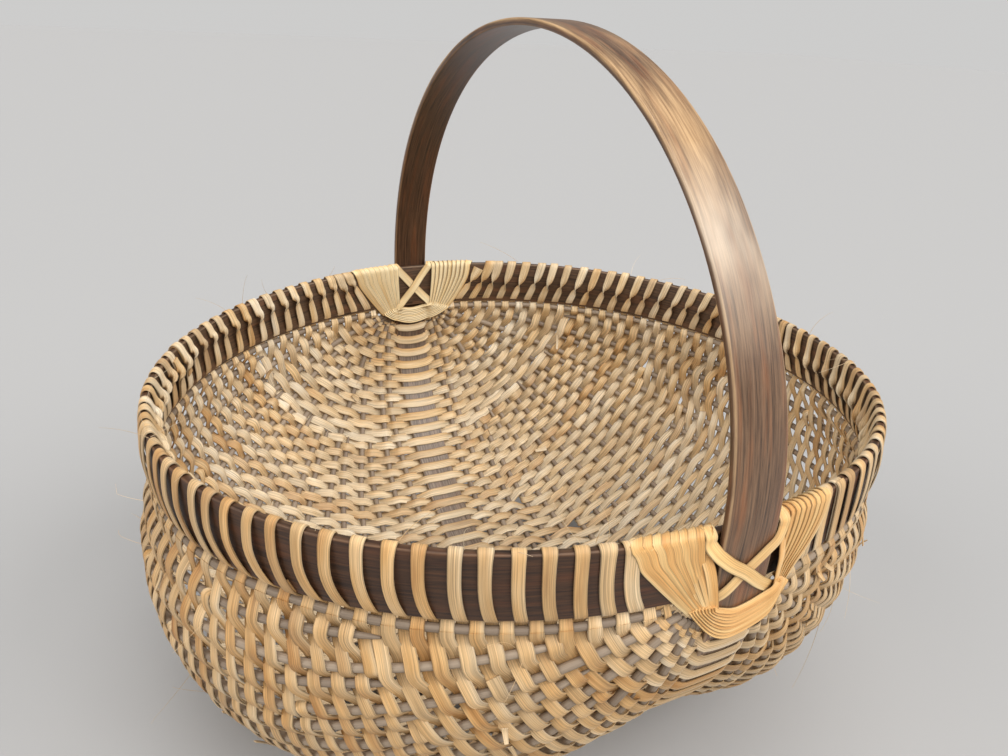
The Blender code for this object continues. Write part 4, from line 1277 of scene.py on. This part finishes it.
# Each strip comes square over the rim's top, runs slantwise over the handle hoop outside, tucks under the
# strands below the rim and comes back slantwise inside. Points are (across, up) in millimetres from the
# ear's middle, on the side where the strip starts.
cross = {
    # the back ear's strips are given a paler tone: partly paler splint, partly painted light
    "width": 1.18, "stations": 150, "lift": 0.0014, "bridge": (15.0, 22.0), "flareBridge": 0.006, "tone": {"front": 0.66, "back": 0.9},
    "frontUnder": {"outer": ((23.6, -0.8), (23.2, -4.0), (20.0, -9.0), (13.0, -14.5), (0.0, -24.5), (-13.0, -34.0), (-19.5, -39.5), (-23.0, -42.0)),
                   "inner": ((-19.0, -39.0), (-9.0, -28.5), (0.0, -20.5), (9.0, -12.5), (19.0, -4.0), (21.5, -0.8))},
    "frontOver": {"outer": ((-20.6, -0.8), (-20.6, -4.0), (-18.0, -8.6), (-12.0, -14.5), (0.0, -23.0), (12.0, -33.0), (22.0, -40.0), (27.0, -43.0)),
                  "inner": ((17.0, -39.0), (9.0, -30.5), (0.0, -21.0), (-9.0, -12.5), (-18.5, -4.0), (-20.8, -0.8))},
    "backUnder": {"outer": ((-19.4, -0.8), (-19.0, -4.5), (-16.0, -9.0), (-9.0, -15.5), (0.0, -23.5), (12.0, -33.0), (18.0, -38.0), (20.0, -41.0)),
                  "inner": ((17.0, -37.0), (9.0, -28.0), (0.0, -18.5), (-8.0, -9.5), (-13.5, -3.5), (-15.6, -0.8))},
    "backOver": {"outer": ((19.4, -0.8), (19.0, -4.5), (16.0, -9.0), (9.0, -15.5), (0.0, -23.5), (-12.0, -33.0), (-18.0, -38.0), (-20.0, -41.0)),
                 "inner": ((-15.5, -39.5), (-8.0, -30.5), (0.0, -20.5), (8.0, -9.5), (13.5, -2.5), (15.6, 0.4))},
}


# Stretched from the handle hoop's edge to the rim, the strip bridges the corner between them.
def bridgeFace(y, z, flare):
    low, high = (v / 1000 for v in cross["bridge"])
    longer = cross["flareBridge"] if flare and y > 0 else 0.0
    onHandle = 1 - np.clip((abs(y) - low - (flare if y > 0 else 0)) / (high - low + longer), 0, 1)
    rim = rimFace(y, 0.0)
    return rim + (max(spineFace(max(z, -0.036), 0.0), rim) - rim) * onHandle


def crossStrip(bundle, end, label, word, rngLocal):
    look = cross[label + word.capitalize()]
    flare = 0.0035 if end > 0 else 0.0
    outer = []
    for i, (y, z) in enumerate(look["outer"]):
        y, z = y / 1000, z / 1000
        bump = cross["lift"] * max(0.0, 1 - abs(z + 0.0235) / 0.014) if word == "over" else 0.0
        tucked = 0.0006 if i >= len(look["outer"]) - 2 else 0.0
        outer.append((bridgeFace(y, z, flare) + 0.0010 + bump - tucked, y, z + rimLevel(y), 1.0 if 0 < i < 7 else 0.85))
    last, first = look["outer"][-1][0] / 1000, look["inner"][0][0] / 1000
    bottom = (rimFace(0.020, basket["rimThickness"] / 2), (last + first) / 2, -0.0445, 0.1)
    inner = []
    for i, (y, z) in enumerate(look["inner"]):
        y, z = y / 1000, z / 1000
        bump = cross["lift"] * max(0.0, 1 - abs(z + 0.0205) / 0.014) if word == "over" else 0.0
        inner.append((rimFace(y, basket["rimThickness"]) - 0.0010 - bump, y, z + rimLevel(y), -1.0 if i < 5 else -0.85))
    topY = (look["outer"][0][0] + look["inner"][-1][0]) / 2000
    top = (rimFace(topY, basket["rimThickness"] / 2), topY, 0.0026, 0.0)
    # both ends meet at the bottom, out of sight
    keys = np.array([bottom] + inner + [top] + outer + [bottom])
    knots = evenRun(keys[:, :3])
    steps = np.linspace(0, knots[-1], cross["stations"])
    values = np.stack([catmull(steps, knots, keys[:, c]) for c in range(4)], axis=1)
    facing = np.clip(values[:, 3:4], -1, 1)
    low = np.where(values[:, 2:3] < -0.025, -1.0, 1.0)
    outward = unit(np.concatenate((end * facing, np.zeros_like(facing), low * (1 - facing ** 2) + 1e-6), axis=1))
    line = values[:, :3] * (end, 1, 1)
    line[:, 2] += rimTop
    across = np.cross(unit(np.gradient(line, axis=0)), outward)
    bundle.sweep(line, across, splintProfile(cross["width"]), tone=cross["tone"][label] + rngLocal.uniform(-0.06, 0.06),
                 seed=rngLocal.uniform(0, 40))


def makeCrosses():
    rngLocal = random.Random(11)
    for end, label in ((1, "front"), (-1, "back")):
        for word in ("under", "over"):
            bundle = Bundle()
            crossStrip(bundle, end, label, word, rngLocal)
            piece = bundle.make("earCross%s%s" % (label.capitalize(), word.capitalize()), lashingGold)
            finishPiece(piece, "lashing_splint", "ear_cross_%s_%s" % (label, word))


makeLashings()
makeCrosses()
print("lashings done")


# Loose ends and stray fibres

strays = {"ends": 40, "endLength": (0.010, 0.024), "hairs": 90, "hairRadius": 0.00016, "reach": 0.009, "hairLength": (0.008, 0.042)}


# Nothing stands more than a few millimetres outside the basket's own box, or goes into the floor.
def keepNear(line):
    low = np.array(cadBox[0]) - (strays["reach"], strays["reach"], -0.0006)
    high = np.array(cadBox[1]) + strays["reach"]
    return np.clip(line, low, high)


# A short end of splint that has sprung away from the weave along its row.
def looseEnd(bundle, rngLocal):
    side = rngLocal.choice((-1, 1))
    face = 1 if rngLocal.random() < 0.7 else -1
    part = np.full(12, rngLocal.uniform(0.03, 0.97))
    share = rngLocal.uniform(0.06, 0.9)
    length = rngLocal.uniform(*strays["endLength"]) * rngLocal.choice((-1, 1))
    t = np.linspace(0, 1, 12)
    shares = share + length / 0.36 * t
    parts = part + rngLocal.uniform(-0.006, 0.006) * t
    angles = earAngle(parts, shares)
    normal = cheekNormal(angles, shares, side) * face
    rise = 0.0031 + rngLocal.uniform(0.0015, 0.0050) * t ** 2
    line = keepNear(cheekPoint(angles, shares, side) + normal * rise[:, None])
    width = rngLocal.uniform(0.25, 0.8) * (1 - 0.35 * t)
    across = np.cross(unit(np.gradient(line, axis=0)), normal)
    bundle.sweep(line, across, splintProfile(1.0, 0.7), scale=np.stack([width, np.ones(12)], axis=1),
                 tone=rngLocal.uniform(0.4, 0.85), seed=rngLocal.uniform(0, 40))


# A fibre split off a splint's edge, thin as a hair, that curls as it leaves the weave.
def strayHair(bundle, rngLocal):
    side = rngLocal.choice((-1, -1, 1))
    if rngLocal.random() < 0.3:
        point, out, level = rimFrame(np.array([rngLocal.uniform(0.02, 0.98)]), side)
        start = np.array((point[0, 0], point[0, 1], level[0] + 0.0016)) + out[0] * rngLocal.uniform(-0.003, 0.003)
        normal = unit(out[0] * rngLocal.choice((-1, 1)) + (0, 0, 0.7))
    else:
        angle = angleAt(np.array([rngLocal.uniform(0.0, 1.0)]), np.array([rngLocal.uniform(0.03, 0.85)]))
        share = np.array([rngLocal.uniform(0.03, 0.85)])
        face = 1 if rngLocal.random() < 0.72 else -1
        normal = cheekNormal(angle, share, side)[0] * face
        start = cheekPoint(angle, share, side)[0] + normal * 0.0031
    aim = unit(normal * rngLocal.uniform(0.25, 0.9) + [rngLocal.uniform(-1, 1) for i in range(3)])
    if np.dot(aim, normal) < 0.15:
        aim = unit(aim + normal * 0.5)
    curl = unit(np.cross(aim, [rngLocal.uniform(-1, 1) for i in range(3)]))
    length = rngLocal.uniform(*strays["hairLength"])
    t = np.linspace(0, 1, 9)[:, None]
    line = start + aim * length * t + curl * length * rngLocal.uniform(0.1, 0.5) * t ** 2
    line[:, 2] -= 0.12 * length * t[:, 0] ** 2
    line = keepNear(line)
    r = strays["hairRadius"]
    bundle.sweep(line, np.repeat(curl[None], 9, axis=0), [(r, 0), (0, r), (-r, 0), (0, -r)], scale=1 - 0.6 * t[:, 0],
                 tone=rngLocal.uniform(0.5, 0.95), seed=rngLocal.uniform(0, 40))


def makeStrays():
    rngLocal = random.Random(77)
    bundle = Bundle()
    for i in range(strays["ends"]):
        looseEnd(bundle, rngLocal)
    for i in range(strays["hairs"]):
        strayHair(bundle, rngLocal)
    finishPiece(bundle.make("looseEnds", splintGold), "weaver_splint")


makeStrays()
print("strays done")


# Studio

studio = {"floor": "#acabaa", "world": 0.30, "backdrop": 0.610, "lens": 28.53, "eye": (0.4607, -0.2563, 0.2175), "yaw": 152.30, "pitch": 24.29, "roll": 3.03,
          "lights": (("topLight", (0.1, 0.0, 1.0), 1.05, 45.0), ("keyLight", (1.0, 0.0, 1.0), 1.75, 45.0),
                     ("rightLight", (0.8, 1.0, 0.9), 1.38, 45.0), ("leftLight", (0.0, -1.0, 0.6), 1.20, 45.0))}


def makeStudio():
    deselect()
    bpy.ops.mesh.primitive_plane_add(size=30.0, location=(0, 0, 0))
    floor = bpy.context.object
    floor.name = "studioFloor"
    material, tree, shader = newMaterial("palePaper")
    shader.inputs["Base Color"].default_value = srgb(studio["floor"])
    shader.inputs["Roughness"].default_value = 0.8
    floor.data.materials.append(material)
    world = bpy.context.scene.world or bpy.data.worlds.new("studio")
    bpy.context.scene.world = world
    world.use_nodes = True
    background = world.node_tree.nodes["Background"]
    background.inputs["Color"].default_value = (1.0, 0.995, 0.985, 1.0)
    # the camera sees the world at the floor's own brightness, so no horizon shows
    seen = addNode(world.node_tree, "ShaderNodeLightPath").outputs["Is Camera Ray"]
    strength = addNode(world.node_tree, "ShaderNodeMapRange", {"To Min": studio["world"], "To Max": studio["backdrop"]},
                       {"Value": seen})
    world.node_tree.links.new(strength.outputs["Result"], background.inputs["Strength"])
    for name, place, energy, spread in studio["lights"]:
        light = bpy.data.lights.new(name, "SUN")
        light.angle = math.radians(spread)
        light.energy = energy
        lamp = bpy.data.objects.new(name, light)
        lamp.location = place
        lamp.rotation_euler = (-Vector(place)).to_track_quat("-Z", "Y").to_euler()
        bpy.context.scene.collection.objects.link(lamp)
    yaw = math.radians(studio["yaw"])
    pitch = math.radians(studio["pitch"])
    roll = math.radians(studio["roll"])
    forward = Vector((math.cos(pitch) * math.cos(yaw), math.cos(pitch) * math.sin(yaw), -math.sin(pitch)))
    right = forward.cross(Vector((0, 0, 1))).normalized()
    up = right.cross(forward)
    rolledRight = right * math.cos(roll) + up * math.sin(roll)
    rolledUp = up * math.cos(roll) - right * math.sin(roll)
    camera = bpy.data.cameras.new("photoCamera")
    camera.lens = studio["lens"]
    camera.sensor_width = 36.0
    camera.clip_start = 0.02
    eye = bpy.data.objects.new("photoCamera", camera)
    turn = Matrix((rolledRight, rolledUp, -forward)).transposed()
    eye.matrix_world = Matrix.Translation((studio["eye"][0], studio["eye"][1], studio["eye"][2] + rimTop)) @ turn.to_4x4()
    bpy.context.scene.collection.objects.link(eye)
    bpy.context.scene.camera = eye
    bpy.context.scene.view_settings.view_transform = "Standard"


makeStudio()
print("studio ready")
